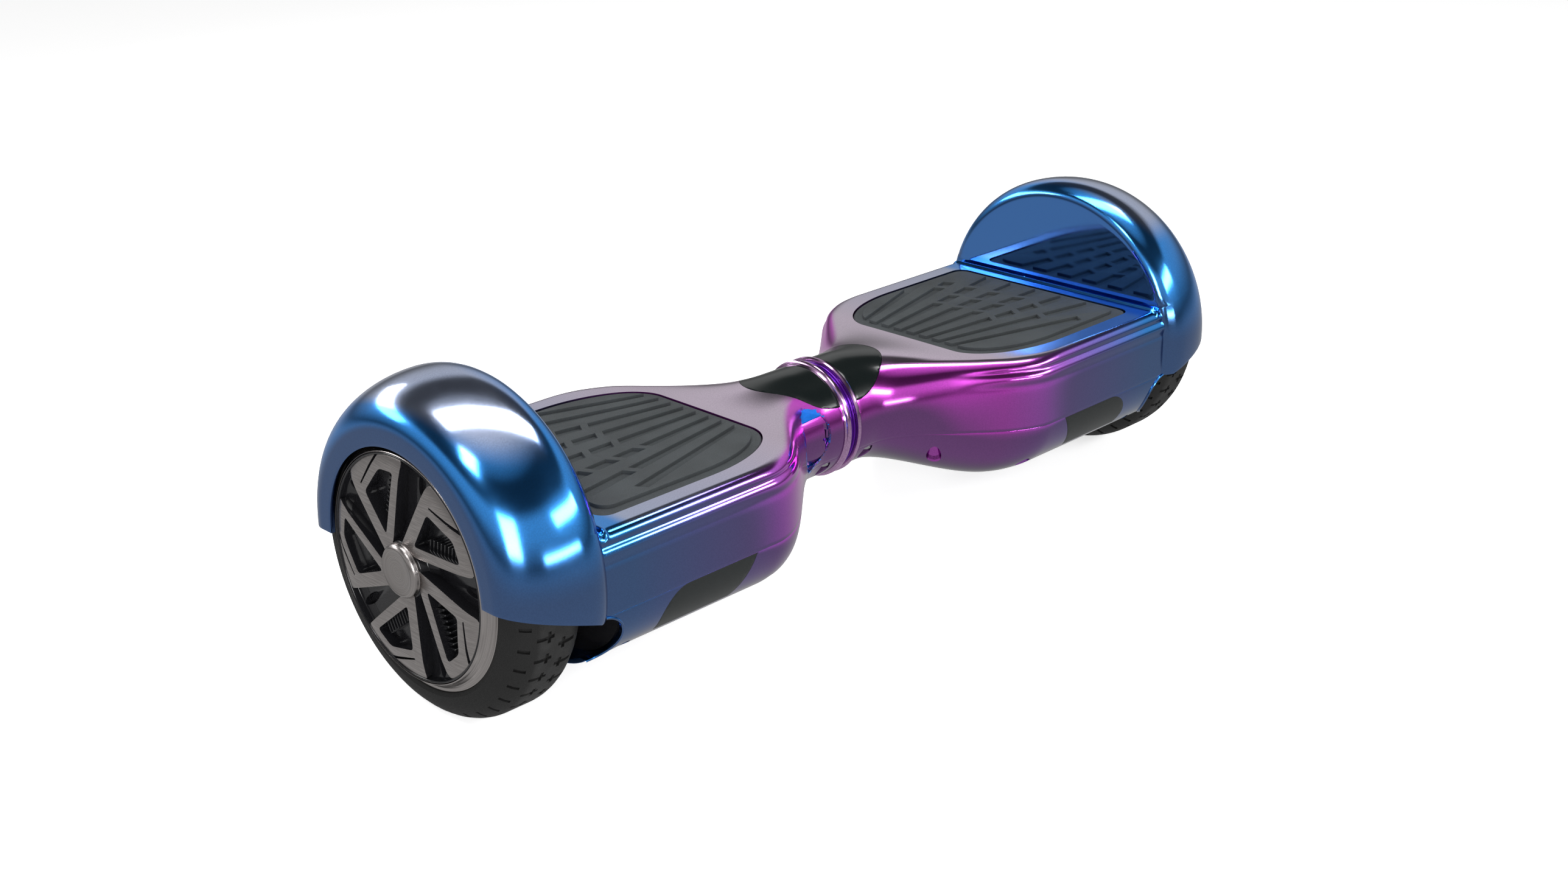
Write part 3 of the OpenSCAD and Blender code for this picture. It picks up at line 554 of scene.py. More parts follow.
def finish_piece(obj, body, finishes, nodes=(), angle=35):
    """Shades the piece, gives it its finish and places it in the frame."""
    pick(obj)
    bpy.ops.object.shade_smooth_by_angle(angle=math.radians(angle))
    if not isinstance(finishes, (list, tuple)):
        finishes = [finishes]
    kept = [face.material_index for face in obj.data.polygons] if len(finishes) > 1 else None
    obj.data.materials.clear()
    for finish in finishes:
        obj.data.materials.append(finish)
    if kept:
        obj.data.polygons.foreach_set("material_index", [min(k, len(finishes) - 1) for k in kept])
    else:
        obj.data.polygons.foreach_set("material_index", [0] * len(obj.data.polygons))
    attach(obj, body)
    if nodes:
        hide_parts(*nodes)
    return obj


# ---- Finishes ---------------------------------------------------------------------------------------


class Finish:
    """A material with a Principled surface, built up node by node."""

    def __init__(self, name, base=(0.5, 0.5, 0.5), rough=0.5, metal=0.0, **sockets):
        self.material = bpy.data.materials.new(name)
        self.material.use_nodes = True
        self.nodes = self.material.node_tree.nodes
        self.links = self.material.node_tree.links
        self.shader = self.nodes["Principled BSDF"]
        self.shader.inputs["Base Color"].default_value = (*base, 1)
        self.shader.inputs["Roughness"].default_value = rough
        self.shader.inputs["Metallic"].default_value = metal
        for key, value in sockets.items():
            self.shader.inputs[key.replace("_", " ")].default_value = value
        self.coord = self.nodes.new("ShaderNodeTexCoord")

    def add(self, kind, inputs=None, **attributes):
        node = self.nodes.new("ShaderNode" + kind)
        for key, value in attributes.items():
            setattr(node, key, value)
        for key, value in (inputs or {}).items():
            if hasattr(value, "is_output"):
                self.links.new(value, node.inputs[key])
            else:
                node.inputs[key].default_value = value
        return node

    def place(self, scale=(1, 1, 1), location=(0, 0, 0)):
        node = self.add("Mapping", {"Vector": self.coord.outputs["Object"]})
        node.inputs["Scale"].default_value = scale
        node.inputs["Location"].default_value = location
        return node.outputs["Vector"]

    def noise(self, scale, detail=2.0, vector=None):
        vector = vector or self.coord.outputs["Object"]
        return self.add("TexNoise", {"Vector": vector, "Scale": scale, "Detail": detail}).outputs["Fac"]

    def remap(self, value, a, b, c, d):
        node = self.add("MapRange", {"Value": value, "From Min": a, "From Max": b, "To Min": c, "To Max": d})
        node.interpolation_type = "SMOOTHSTEP"
        return node.outputs["Result"]

    def ramp(self, value, stops):
        node = self.add("ValToRGB", {"Fac": value})
        band = node.color_ramp
        while len(band.elements) < len(stops):
            band.elements.new(0.5)
        for element, (place, shade) in zip(band.elements, stops):
            element.position = place
            element.color = (*shade, 1)
        return node.outputs["Color"]

    def blend(self, factor, a, b):
        node = self.add("Mix", data_type="RGBA")
        for index, value in ((0, factor), (6, a), (7, b)):
            if hasattr(value, "is_output"):
                self.links.new(value, node.inputs[index])
            elif index:
                node.inputs[index].default_value = (*value, 1)
            else:
                node.inputs[index].default_value = value
        return node.outputs[2]

    def set(self, socket, value):
        self.links.new(value, self.shader.inputs[socket])
        return self

    def bump(self, height, strength, distance=0.0002):
        node = self.add("Bump", {"Height": height, "Strength": strength, "Distance": distance})
        return self.set("Normal", node.outputs["Normal"])


def plated_finish():
    """Chrome-like plating that runs from blue at the fenders through violet to pink at the neck, with painted
    light by facing: a paler painted highlight on level faces, painted shade on upright and downward faces,
    and a painted reflection on the inner panels.
    """
    c = colours()
    f = Finish("plated_shell", rough=0.16, metal=1.0)
    place = f.add("SeparateXYZ", {"Vector": f.coord.outputs["Object"]})
    facing = f.add("SeparateXYZ", {"Vector": f.coord.outputs["Normal"]})
    along = f.add("Math", {0: place.outputs["X"]}, operation="ABSOLUTE").outputs[0]
    along = f.remap(along, 0.0, 0.29, 0.0, 1.0)
    along.node.interpolation_type = "LINEAR"
    # Each pair is the neck and fender tone of one facing: upright faces in painted shade, tilted faces in the
    # plating's own colour, level faces in painted highlight.
    tones = [(c.side_purple_painted_shade, c.side_steel_painted_shade), (c.flare_magenta, c.fender_blue), (c.top_mauve_painted_highlight, c.top_blue_painted_highlight)]
    bands = []
    for near, far in tones:
        near, far = tuple(near), tuple(far)
        half = tuple(mix(a, b, 0.55) for a, b in zip(near, far))
        bands.append(f.ramp(along, [(0.0, near), (0.30, near), (0.50, half), (0.74, far), (1.0, far)]))
    side, tilt, top = bands
    margin = f.remap(along, 0.72, 0.755, 0.0, 1.0), f.remap(along, 0.80, 0.86, 1.0, 0.0)
    margin = f.add("Math", {0: margin[0], 1: margin[1]}, operation="MULTIPLY").outputs[0]
    top = f.blend(margin, top, tuple(c.fender_blue))
    # Near the neck's flare the upright faces take more of the vivid magenta, a painted reflection.
    rise, fall = f.remap(along, 0.12, 0.24, 0.0, 0.22), f.remap(along, 0.36, 0.52, 1.0, 0.0)
    flare = f.add("Math", {0: rise, 1: fall}, operation="MULTIPLY").outputs[0]
    tilt_by = f.add("Math", {0: facing.outputs["Z"], 1: flare}, operation="ADD").outputs[0]
    vivid = f.remap(tilt_by, 0.03, 0.42, 0.0, 1.0)
    # The fender's crown takes the paler painted highlight from a lower tilt than the rest of the shell.
    crown = f.add("Math", {0: facing.outputs["Z"], 1: f.remap(along, 0.80, 0.86, 0.0, 0.17)}, operation="ADD")
    up = f.remap(crown.outputs[0], 0.84, 1.0, 0.0, 1.0)
    # Faces that look down fade to the underside colour, a painted shade.
    down = f.remap(facing.outputs["Z"], -0.45, -0.95, 0.0, 1.0)
    # The colour by facing is painted light: level faces take the painted highlight, upright faces the painted
    # shade, and tilted faces the plating's own vivid colour.
    shade = f.blend(down, f.blend(up, f.blend(vivid, side, tilt), top), tuple(c.underside))
    flakes = f.noise(1400.0)
    shade = f.blend(f.remap(flakes, 0.35, 0.65, 0.0, 0.10), shade, (0.02, 0.02, 0.05))
    # Painted reflection: the upright inner faces between deck and fender take the navy panel colour, standing
    # for the pad and deck they mirror.
    inner = f.remap(along, (WELL_X - 5) / 290, (WELL_X - 3) / 290, 0.0, 1.0)
    outer = f.remap(along, (WELL_X + 8) / 290, (WELL_X + 11) / 290, 1.0, 0.0)
    panel = f.add("Math", {0: inner, 1: outer}, operation="MULTIPLY").outputs[0]
    sideways = f.add("Math", {0: facing.outputs["X"]}, operation="ABSOLUTE").outputs[0]
    flat = f.remap(sideways, 0.9, 0.99, 0.0, 1.0)
    inside = f.add("Math", {0: panel, 1: flat}, operation="MULTIPLY").outputs[0]
    f.set("Base Color", f.blend(inside, shade, tuple(c.panel_painted_reflection)))
    calm = f.remap(inside, 0.0, 1.0, 0.14, 0.05)
    wear = f.remap(f.noise(26.0, 4.0), 0.3, 0.7, -0.02, 0.03)
    f.set("Roughness", f.add("Math", {0: calm, 1: wear}, operation="ADD").outputs[0])
    f.bump(flakes, 0.035, 0.00005)
    return f.material


def gloss_black(name, rough=0.16, base=(0.006, 0.007, 0.007)):
    f = Finish(name, base=base, rough=rough, Specular_IOR_Level=0.38)
    f.set("Roughness", f.remap(f.noise(30.0, 3.0), 0.3, 0.7, rough, rough + 0.03))
    f.bump(f.noise(1200.0), 0.02, 0.00004)
    return f.material


def rubber_finish():
    c = colours()
    f = Finish("pad_rubber", base=tuple(c.rubber), rough=0.78, Specular_IOR_Level=0.35)
    grain = f.noise(2200.0, 3.0)
    tone = f.noise(38.0, 4.0)
    light = tuple(v * 1.35 for v in c.rubber)
    shade = f.blend(f.remap(tone, 0.3, 0.7, 0.0, 1.0), tuple(c.rubber), light)
    f.set("Base Color", f.blend(f.remap(grain, 0.4, 0.75, 0.0, 0.35), shade, (0.02, 0.02, 0.022)))
    f.set("Roughness", f.remap(grain, 0.2, 0.8, 0.66, 0.88))
    f.bump(grain, 0.35, 0.00025)
    return f.material


def tyre_finish():
    c = colours()
    f = Finish("tyre_rubber", base=tuple(c.tyre), rough=0.62, Specular_IOR_Level=0.3)
    grain = f.noise(1600.0, 3.0)
    place = f.add("SeparateXYZ", {"Vector": f.place(location=(0, 0, -AXLE_Z * MM))})
    yy = f.add("Math", {0: place.outputs["Y"], 1: place.outputs["Y"]}, operation="MULTIPLY").outputs[0]
    zz = f.add("Math", {0: place.outputs["Z"], 1: place.outputs["Z"]}, operation="MULTIPLY").outputs[0]
    rr = f.add("Math", {0: yy, 1: zz}, operation="ADD").outputs[0]
    worn = f.remap(rr, (0.0832) ** 2, (0.084) ** 2, 0.0, 1.0)
    dust = f.add("Math", {0: worn, 1: f.remap(f.noise(120.0, 4.0), 0.3, 0.7, 0.3, 1.0)}, operation="MULTIPLY")
    f.set("Base Color", f.blend(dust.outputs[0], tuple(c.tyre), tuple(v * 2.4 for v in c.tyre)))
    f.set("Roughness", f.remap(grain, 0.2, 0.8, 0.55, 0.75))
    f.bump(grain, 0.25, 0.0002)
    return f.material


def brushed_finish(name, base, rough=0.3, rings=False):
    """Brushed metal: fine lines across the face, or rings round the hub."""
    f = Finish(name, base=base, rough=rough, metal=1.0)
    if rings:
        place = f.add("SeparateXYZ", {"Vector": f.place(location=(0, 0, -AXLE_Z * MM))})
        flat = f.add("CombineXYZ", {"X": place.outputs["Y"], "Y": place.outputs["Z"]}).outputs["Vector"]
        length = f.add("VectorMath", {0: flat}, operation="LENGTH").outputs["Value"]
        along = f.add("CombineXYZ", {"X": length, "Y": f.noise(40.0)}).outputs["Vector"]
        stretched = f.add("Mapping", {"Vector": along, "Scale": (2600, 2.0, 1)}).outputs["Vector"]
    else:
        stretched = f.place(scale=(300, 90, 2600))
    lines = f.noise(1.0, 4.0, stretched)
    dark = tuple(v * 0.72 for v in base)
    f.set("Base Color", f.blend(f.remap(lines, 0.3, 0.7, 0.0, 1.0), base, dark))
    f.set("Roughness", f.remap(lines, 0.25, 0.75, rough - 0.06, rough + 0.1))
    f.bump(lines, 0.06, 0.00008)
    return f.material


def grained(name, base, rough, metal=0.0, scale=700.0, strength=0.1):
    """A moulded, cast or wound finish with a fine grain."""
    f = Finish(name, base=base, rough=rough, metal=metal)
    grain = f.noise(scale, 3.0)
    f.set("Base Color", f.blend(f.remap(grain, 0.3, 0.7, 0.0, 1.0), base, tuple(v * 0.8 for v in base)))
    f.set("Roughness", f.remap(grain, 0.2, 0.8, max(0.05, rough - 0.06), min(1.0, rough + 0.06)))
    f.bump(grain, strength, 0.0001)
    return f.material


FINISHES = {}


def finish(name):
    if name not in FINISHES:
        c = colours()
        makers = {
            "plated": plated_finish,
            "trim": lambda: gloss_black("trim_black", 0.14, (0.004, 0.006, 0.006)),
            "lens": lambda: gloss_black("lens_black", 0.42, (0.006, 0.008, 0.008)),
            "rubber": rubber_finish,
            "tyre": tyre_finish,
            "brushed": lambda: brushed_finish("wheel_silver", tuple(c.silver)),
            "rim": lambda: brushed_finish("rim_silver", tuple(v * 1.1 for v in c.silver), 0.24, True),
            "ring": lambda: grained("ring_chrome", (0.60, 0.36, 0.62), 0.14, 1.0, 900.0, 0.008),
            "cap": lambda: brushed_finish("hub_cap_silver", tuple(c.silver), 0.26, True),
            "gloss": lambda: gloss_black("wheel_gloss_black", 0.12, (0.006, 0.006, 0.007)),
            "bay": lambda: grained("port_blue", tuple(c.port_blue), 0.22, 0.6, 500.0, 0.03),
            "violet": lambda: grained("seal_violet", (0.10, 0.01, 0.28), 0.22, 0.8, 500.0, 0.03),
            "steel": lambda: grained("steel", (0.48, 0.48, 0.50), 0.32, 1.0),
            "alloy": lambda: grained("cast_alloy", (0.42, 0.42, 0.43), 0.45, 1.0, 900.0, 0.2),
            "copper": lambda: grained("copper_winding", (0.62, 0.24, 0.09), 0.35, 1.0, 1500.0, 0.3),
            "board": lambda: grained("circuit_board", (0.01, 0.13, 0.05), 0.4, 0.0, 400.0, 0.1),
            "wrap": lambda: grained("battery_wrap", (0.02, 0.07, 0.28), 0.4, 0.0, 300.0, 0.1),
            "plastic": lambda: grained("black_plastic", (0.02, 0.02, 0.02), 0.45, 0.0, 900.0, 0.15),
            "magnet": lambda: grained("magnet_nickel", (0.20, 0.20, 0.21), 0.4, 1.0),
            "bronze": lambda: grained("bush_bronze", (0.45, 0.28, 0.12), 0.4, 1.0),
        }
        FINISHES[name] = makers[name]()
    return FINISHES[name]


# ---- The pieces --------------------------------------------------------------------------------------


def pad_outline(grow=0.0):
    """Plan of the foot pad of the right half."""
    a, b = 60 + grow, 33 + grow
    x1, y1 = PAD_HIGH.x + grow - 8, PAD_HIGH.y + grow - 8
    half = [(145 - a * math.cos(t), 36 + b * math.sin(t)) for t in [math.pi / 2 * k / 24 for k in range(25)]]
    half += [(x1 + 8 * math.sin(t), y1 + 8 * math.cos(t)) for t in [math.pi / 2 * k / 10 for k in range(11)]]
    return half + [(x, -y) for x, y in reversed(half)]


def trim_outline(grow=0.0):
    """Plan of the black trim over the neck of the right half."""
    a, b = 43 + grow, 29 + grow
    arc = [(NECK_X + a * math.cos(t), b * math.sin(t)) for t in [math.pi * (k / 48 - 0.5) for k in range(49)]]
    return [(NECK_X - 2, -b)] + arc + [(NECK_X - 2, b)]


def light_outline(grow=0.0):
    """Front view of the light lens of the right half."""
    r = 17 + grow
    x0, x1 = LENS_LOW.x - grow, LENS_LOW.x + 64 + grow - r
    z1, low = PART_Z - 0.3, PART_Z - 24 - grow
    turns = [math.pi / 2 * k / 12 for k in range(13)]
    far = [(x1 + r * math.sin(t), z1 - r + r * math.cos(t)) for t in turns]
    return [(x0, z1)] + far + [(x1 + r, low), (x0 + 12, low)]


def wells():
    """Screw wells in the underside: x, y and the height of the screw's seat."""
    return [(18, ridge_w(18) - 4, 66), (61, ridge_w(61) - 4, 60), (110, 71, 60), (212, 71, 60)]


def well_tools(name, r, extra):
    tools = []
    for k, (x, y, top) in enumerate(wells()):
        for s in (-1, 1):
            tools.append(cylinder(f"{name}{k}", x, s * y, (top + extra) / 2, r, top + extra, "Z", 48))
    return tools


def upper_shells():
    rows = upper_outline()
    shell = wrapped_grid("right_upper_shell_skin", rows)
    apply(shell, "SOLIDIFY", thickness=size("wall") * MM, offset=-1, use_rim=True)
    plain = twin(shell, "trim_stock")
    soften(shell, 0.2, 50)
    carve(shell, prism("pad_cut", pad_outline(0.6), "Z", DECK_Z - 8, DECK_Z + 20))
    carve(shell, prism("trim_cut", trim_outline(0.25), "Z", AXLE_Z + 8, DECK_Z + 20))
    left = other_side(shell, "left_upper_shell_skin")
    carve(left, cylinder("bay_cut", PORT_X, -60, PORT_Z, 17, 70, "Y", 96))
    carve(left, cylinder("button_cut", PORT_X, 45, PORT_Z, 6.9, 40, "Y", 64))
    finish_piece(shell, "right_half", finish("plated"), ["right_upper_shell"], 58)
    finish_piece(left, "left_half", finish("plated"), ["left_upper_shell"], 58)
    trim = carve(plain, prism("trim_keep", trim_outline(), "Z", AXLE_Z + 8, DECK_Z + 20), "INTERSECT")
    soften(trim, 0.3, 50)
    trim.name = trim.data.name = "right_neck_trim_cover"
    left_trim = other_side(trim, "left_neck_trim_cover")
    finish_piece(trim, "right_half", finish("trim"), ["right_neck_trim"])
    finish_piece(left_trim, "left_half", finish("trim"), ["left_neck_trim"])


def notch_outline():
    """Side view of the arch cut into the outer end of the lower shell."""
    r = 14.6
    cx, cz = WELL_X + 4.0, PART_Z - 14.5
    turns = [math.pi * (k / 24 - 0.5) for k in range(25)]
    return [(cx - r * math.cos(t), cz + r * math.sin(t)) for t in turns]


def slimmed(obj, share):
    """Scale a piece in y and z towards the height of the pivot."""
    to_pivot = Matrix.Translation((0, 0, PIVOT_Z * MM))
    obj.data.transform(to_pivot @ Matrix.Diagonal((1, share, share, 1)) @ to_pivot.inverted())


def lower_shells():
    shell = wrapped_grid("right_lower_shell_skin", lower_outline())
    whole = closed_form("lower_form", lower_outline())
    apply(shell, "SOLIDIFY", thickness=size("wall") * MM, offset=-1, use_rim=True)
    stock = twin(shell, "lens_stock")
    soften(shell, 0.2, 50)
    carve(shell, prism("light_cut", light_outline(0.2), "Y", -100, -30))
    for s in (-1, 1):
        notch = notch_outline() + [(WELL_X + 6, PART_Z + 0.2), (WELL_X + 6, 38.5)]
        low, high = sorted((s * 55, s * 110))
        carve(shell, prism("notch_cut", notch, "Y", low, high))
    cut = join("well_cut", well_tools("well", 4.5, 0))
    carve(shell, cut, keep=True)
    lining = twin(whole, "right_well_lining")
    slimmed(lining, 0.98)
    carve(lining, join("well_keep", well_tools("boss", 6.1, 2)), "INTERSECT")
    carve(lining, cut)
    end = twin(whole, "right_shell_end")
    slimmed(end, 0.96)
    carve(end, block("end_keep", (WELL_X - 12, -100, 0), (WELL_X - 9.5, 100, 200)), "INTERSECT")
    bpy.data.objects.remove(whole)
    pieces = [(shell, "plated", ["right_lower_shell"]), (lining, "plated", []), (end, "gloss", [])]
    for s, side in ((-1, "front"), (1, "rear")):
        edge = []
        for x, z in notch_outline():
            y = lower_side_y(min(x, WELL_X + 2.4), z)
            edge.append((min(x, WELL_X + 2.4), s * (y + 0.05), z))
        rim = bead(f"right_{side}_notch_bead", edge, 0.75)
        pieces.append((rim, "plated", []))
    for obj, name, nodes in pieces:
        left = other_side(obj, obj.name.replace("right", "left"))
        finish_piece(obj, "right_half", finish(name), nodes)
        nodes = [n.replace("right", "left") for n in nodes]
        finish_piece(left, "left_half", finish(name), nodes)
    lens = carve(stock, prism("light_keep", light_outline(), "Y", -100, -30), "INTERSECT")
    lens.name = lens.data.name = "right_light_cover"
    soften(lens, 0.25, 50)
    shell_screws()
    left_lens = other_side(lens, "left_light_cover")
    finish_piece(lens, "right_half", finish("lens"), ["right_light_lens"])
    finish_piece(left_lens, "left_half", finish("lens"), ["left_light_lens"])


def lower_side_y(x, z):
    """Half width of the lower shell at height z."""
    previous = lower_point(x, 0)
    for k in range(1, 81):
        point = lower_point(x, k / 80)
        if point[1] <= z:
            f = (previous[1] - z) / max(1e-6, previous[1] - point[1])
            return mix(previous[0], point[0], f)
        previous = point
    return previous[0]


def shell_screws():
    """Socket head screws at the top of the wells."""
    screws = []
    for k, (x, y, top) in enumerate(wells()):
        for s in (-1, 1):
            head = cylinder(f"screw{k}", x, s * y, top + 0.2, 3.4, 3.2, "Z", 40)
            edit(head, lambda centre, normal: normal.z < -0.9)
            bpy.ops.mesh.inset(thickness=0.0016)
            bpy.ops.mesh.extrude_region_move(TRANSFORM_OT_translate={"value": (0, 0, 0.0016)})
            leave()
            soften(head, 0.25, 40)
            screws.append(head)
            screws.append(cylinder(f"shank{k}", x, s * y, top + 5.5, 1.5, 9, "Z", 24))
    heads = join("right_screw_heads", screws)
    left = other_side(heads, "left_screw_heads")
    finish_piece(heads, "right_half", finish("steel"), ["right_shell_screws"])
    finish_piece(left, "left_half", finish("steel"), ["left_shell_screws"])


def neck_rings():
    low, high = box_mm("right_neck_ring")
    r = high.z - PIVOT_Z
    body = [(26, low.x), (r - 1.6, low.x), (r - 0.5, low.x + 0.3), (r, low.x + 1.0), (r, low.x + 2.2),
            (r - 0.5, low.x + 2.9), (r - 1.5, low.x + 3.3), (r - 1.9, high.x), (26, high.x)]
    ring = lathe("right_trim_ring", body, 192, (0.0, PIVOT_Z))
    left = other_side(ring, "left_trim_ring")
    finish_piece(ring, "right_half", finish("ring"), ["right_neck_ring"])
    finish_piece(left, "left_half", finish("ring"), ["left_neck_ring"])
    low, high = SEAL_LOW.x, SEAL_HIGH.x
    waist = [(27, low), (NECK_R, low), (NECK_R, -1.2), (NECK_R - 1.4, -0.6), (NECK_R - 1.4, 0.6),
             (NECK_R, 1.2), (NECK_R, high), (27, high)]
    seal = lathe("neck_seal_band", rounded(waist, 0.3), 160, (0.0, PIVOT_Z))
    finish_piece(seal, "left_half", finish("violet"), ["neck_seal"])


RIB_START, RIB_END = 80.0, 222.0
RIB_BORDER = 6.0
RIB_STEP, RIB_GAP = 20.0, 4.5
RIB_RAYS = range(-3, 5)
RIB_WIDTH = 0.44


def ray_y(x, k):
    """The ribs of a pad fan out from a point beyond the neck: height of ray k at distance x."""
    return 1.0 + (x + 29) * 0.085 * k


def groove_spans(k):
    """Stretches along x where groove k is cut: the middle rays break three times, the next once."""
    breaks = 3 if -1 <= k <= 2 else 1 if -2 <= k <= 3 else 0
    first = 148 - 2 * abs(k) if breaks == 3 else 170
    stops = [first + RIB_STEP * n for n in range(breaks)]
    last = RIB_END if abs(k) < 3 else RIB_END - 38
    return list(zip([RIB_START] + [x + RIB_GAP for x in stops], stops + [last]))


def foot_pads():
    base_top = PAD_HIGH.z - size("rib_h")
    base = prism("pad_base", pad_outline(), "Z", DECK_Z - 3.3, base_top)
    soften(base, 0.9, 60, 4)
    plateau = prism("pad_plateau", pad_outline(-RIB_BORDER), "Z", base_top - 0.6, PAD_HIGH.z)
    tools = []
    for k in RIB_RAYS:
        lean = 3.4 if k >= 0 else -4.0
        for a, b in groove_spans(k):
            low_a = a + (lean if a > RIB_START else 0)
            low_b = b + lean
            cut = [(a, ray_y(a, k)), (b, ray_y(b, k))]
            cut += [(x, ray_y(x, k - RIB_WIDTH)) for x in (low_b, low_a)]
            tools.append(prism(f"groove{k}", list(reversed(cut)), "Z", base_top - 0.02, PAD_HIGH.z + 2))
    carve(plateau, join("grooves", tools))
    soften(plateau, 0.3, 40)
    low = PAD_LOW.z
    top = DECK_Z - 3
    feet = [
        cylinder("foot", x, y, (low + top) / 2, 5, top - low, "Z", 32) for x in (102, 206) for y in (-50, 50)
    ]
    pad = join("right_pad_cover", [base, plateau] + feet)
    left = other_side(pad, "left_pad_cover")
    finish_piece(pad, "right_pad", finish("rubber"), ["right_foot_pad"], 30)
    finish_piece(left, "left_pad", finish("rubber"), ["left_foot_pad"], 30)


def tyre_profile():
    """Closed outline of the tyre, with points where the tread cells end."""
    low, high = TYRE_LOW.x, TYRE_HIGH.x
    mid, half = (low + high) / 2, (high - low) / 2
    side_r, flat = 66.0, 7.0
    stops = [-21.5, -20, -18.5, -16.5, -14, -11.5, -9.5, -7.5, -5.5, -3.5, -1.5, 0]
    stops = stops + [-s for s in reversed(stops[:-1])]
    points = [(57, low + 2.5), (61, low + 1.5), (63.5, low + 0.6)]
    points.append((side_r + 2, low + 0.15))
    for s in stops:
        beyond = max(0.0, abs(s) - flat) / (half - flat)
        points.append((side_r + (WHEEL_R - side_r) * math.sqrt(max(0.0, 1 - beyond**2)), mid + s))
    points += [(side_r + 2.2, high - 0.2), (side_r + 0.2, high - 1.0)]
    points += [(side_r - 0.4, high - 2.6), (57, high - 4.8)]
    return points, mid


def tyres():
    points, mid = tyre_profile()
    pitches = bpy.context.scene.board_sizes.tread_pitches
    cells = 6
    tyre = lathe("right_tyre_tread", points, pitches * cells)
    step = 2 * math.pi / (pitches * cells)

    def grooved(centre, normal):
        radius = math.hypot(centre.y, centre.z - AXLE_Z)
        if radius < 71:
            return False
        s = centre.x - mid
        cell = int(math.floor(math.atan2(centre.y, centre.z - AXLE_Z) / step)) % cells
        if -11.5 < s < -1.5 and cell == 1:
            return True
        if 1.5 < s < 11.5 and cell == 4:
            return True
        if -5.5 < s < -3.5 and cell in (0, 1, 2):
            return True
        if 3.5 < s < 5.5 and cell in (3, 4, 5):
            return True
        return (-18.5 < s < -14 and cell == 4) or (14 < s < 18.5 and cell == 1)

    edit(tyre, grooved)
    bpy.ops.mesh.extrude_region_shrink_fatten(
        TRANSFORM_OT_shrink_fatten={"value": -size("tread_depth") * MM, "use_even_offset": True}
    )
    leave()
    left = other_side(tyre, "left_tyre_tread")
    finish_piece(tyre, "right_wheel", finish("tyre"), ["right_tyre"], 30)
    finish_piece(left, "left_wheel", finish("tyre"), ["left_tyre"], 30)


SPOKES = 5
SPOKE_R = 58.6


def polar(r, degrees):
    return r * math.cos(math.radians(degrees)), r * math.sin(math.radians(degrees))


def spoke_plan():
    """One spoke: a straight side from the hub, an arc along the rim and a straight side back."""
    return rounded([(10, 10)] + [polar(SPOKE_R, mix(13, 64, k / 6)) for k in range(7)] + [(0, 13)], 4)


def spoke_slit():
    """The cut that splits a spoke's outer end: a wedge that narrows from the rim inwards."""
    return [(26, 40), (54, 30.5), (54, 32.5), (26, 41)]


def spoke_pocket():
    """The opening in a spoke, four corners set in from its sides."""
    return rounded([(11, 16), (47.5, 17.5), (43, 28.5), (24, 36.5)], 2.5)


def turned_plan(points, angle):
    """Points of the wheel's face, seen from outside with the front to the right, as (y, z)."""
    c, s = math.cos(angle), math.sin(angle)
    return [(-(p * c - q * s), AXLE_Z + p * s + q * c) for p, q in points]


def face_prism(name, points, angle, low, high):
    outline = turned_plan(points, angle)
    deselect()
    bpy.ops.mesh.primitive_circle_add(vertices=len(outline), radius=1, fill_type="NGON")
    obj = bpy.context.object
    obj.name = obj.data.name = name
    for vertex, (y, z) in zip(obj.data.vertices, outline):
        vertex.co = Vector((low, y, z)) * MM
    edit(obj)
    bpy.ops.mesh.extrude_region_move(TRANSFORM_OT_translate={"value": ((high - low) * MM, 0, 0)})
    bpy.ops.mesh.select_all(action="SELECT")
    bpy.ops.mesh.normals_make_consistent(inside=False)
    leave()
    return obj


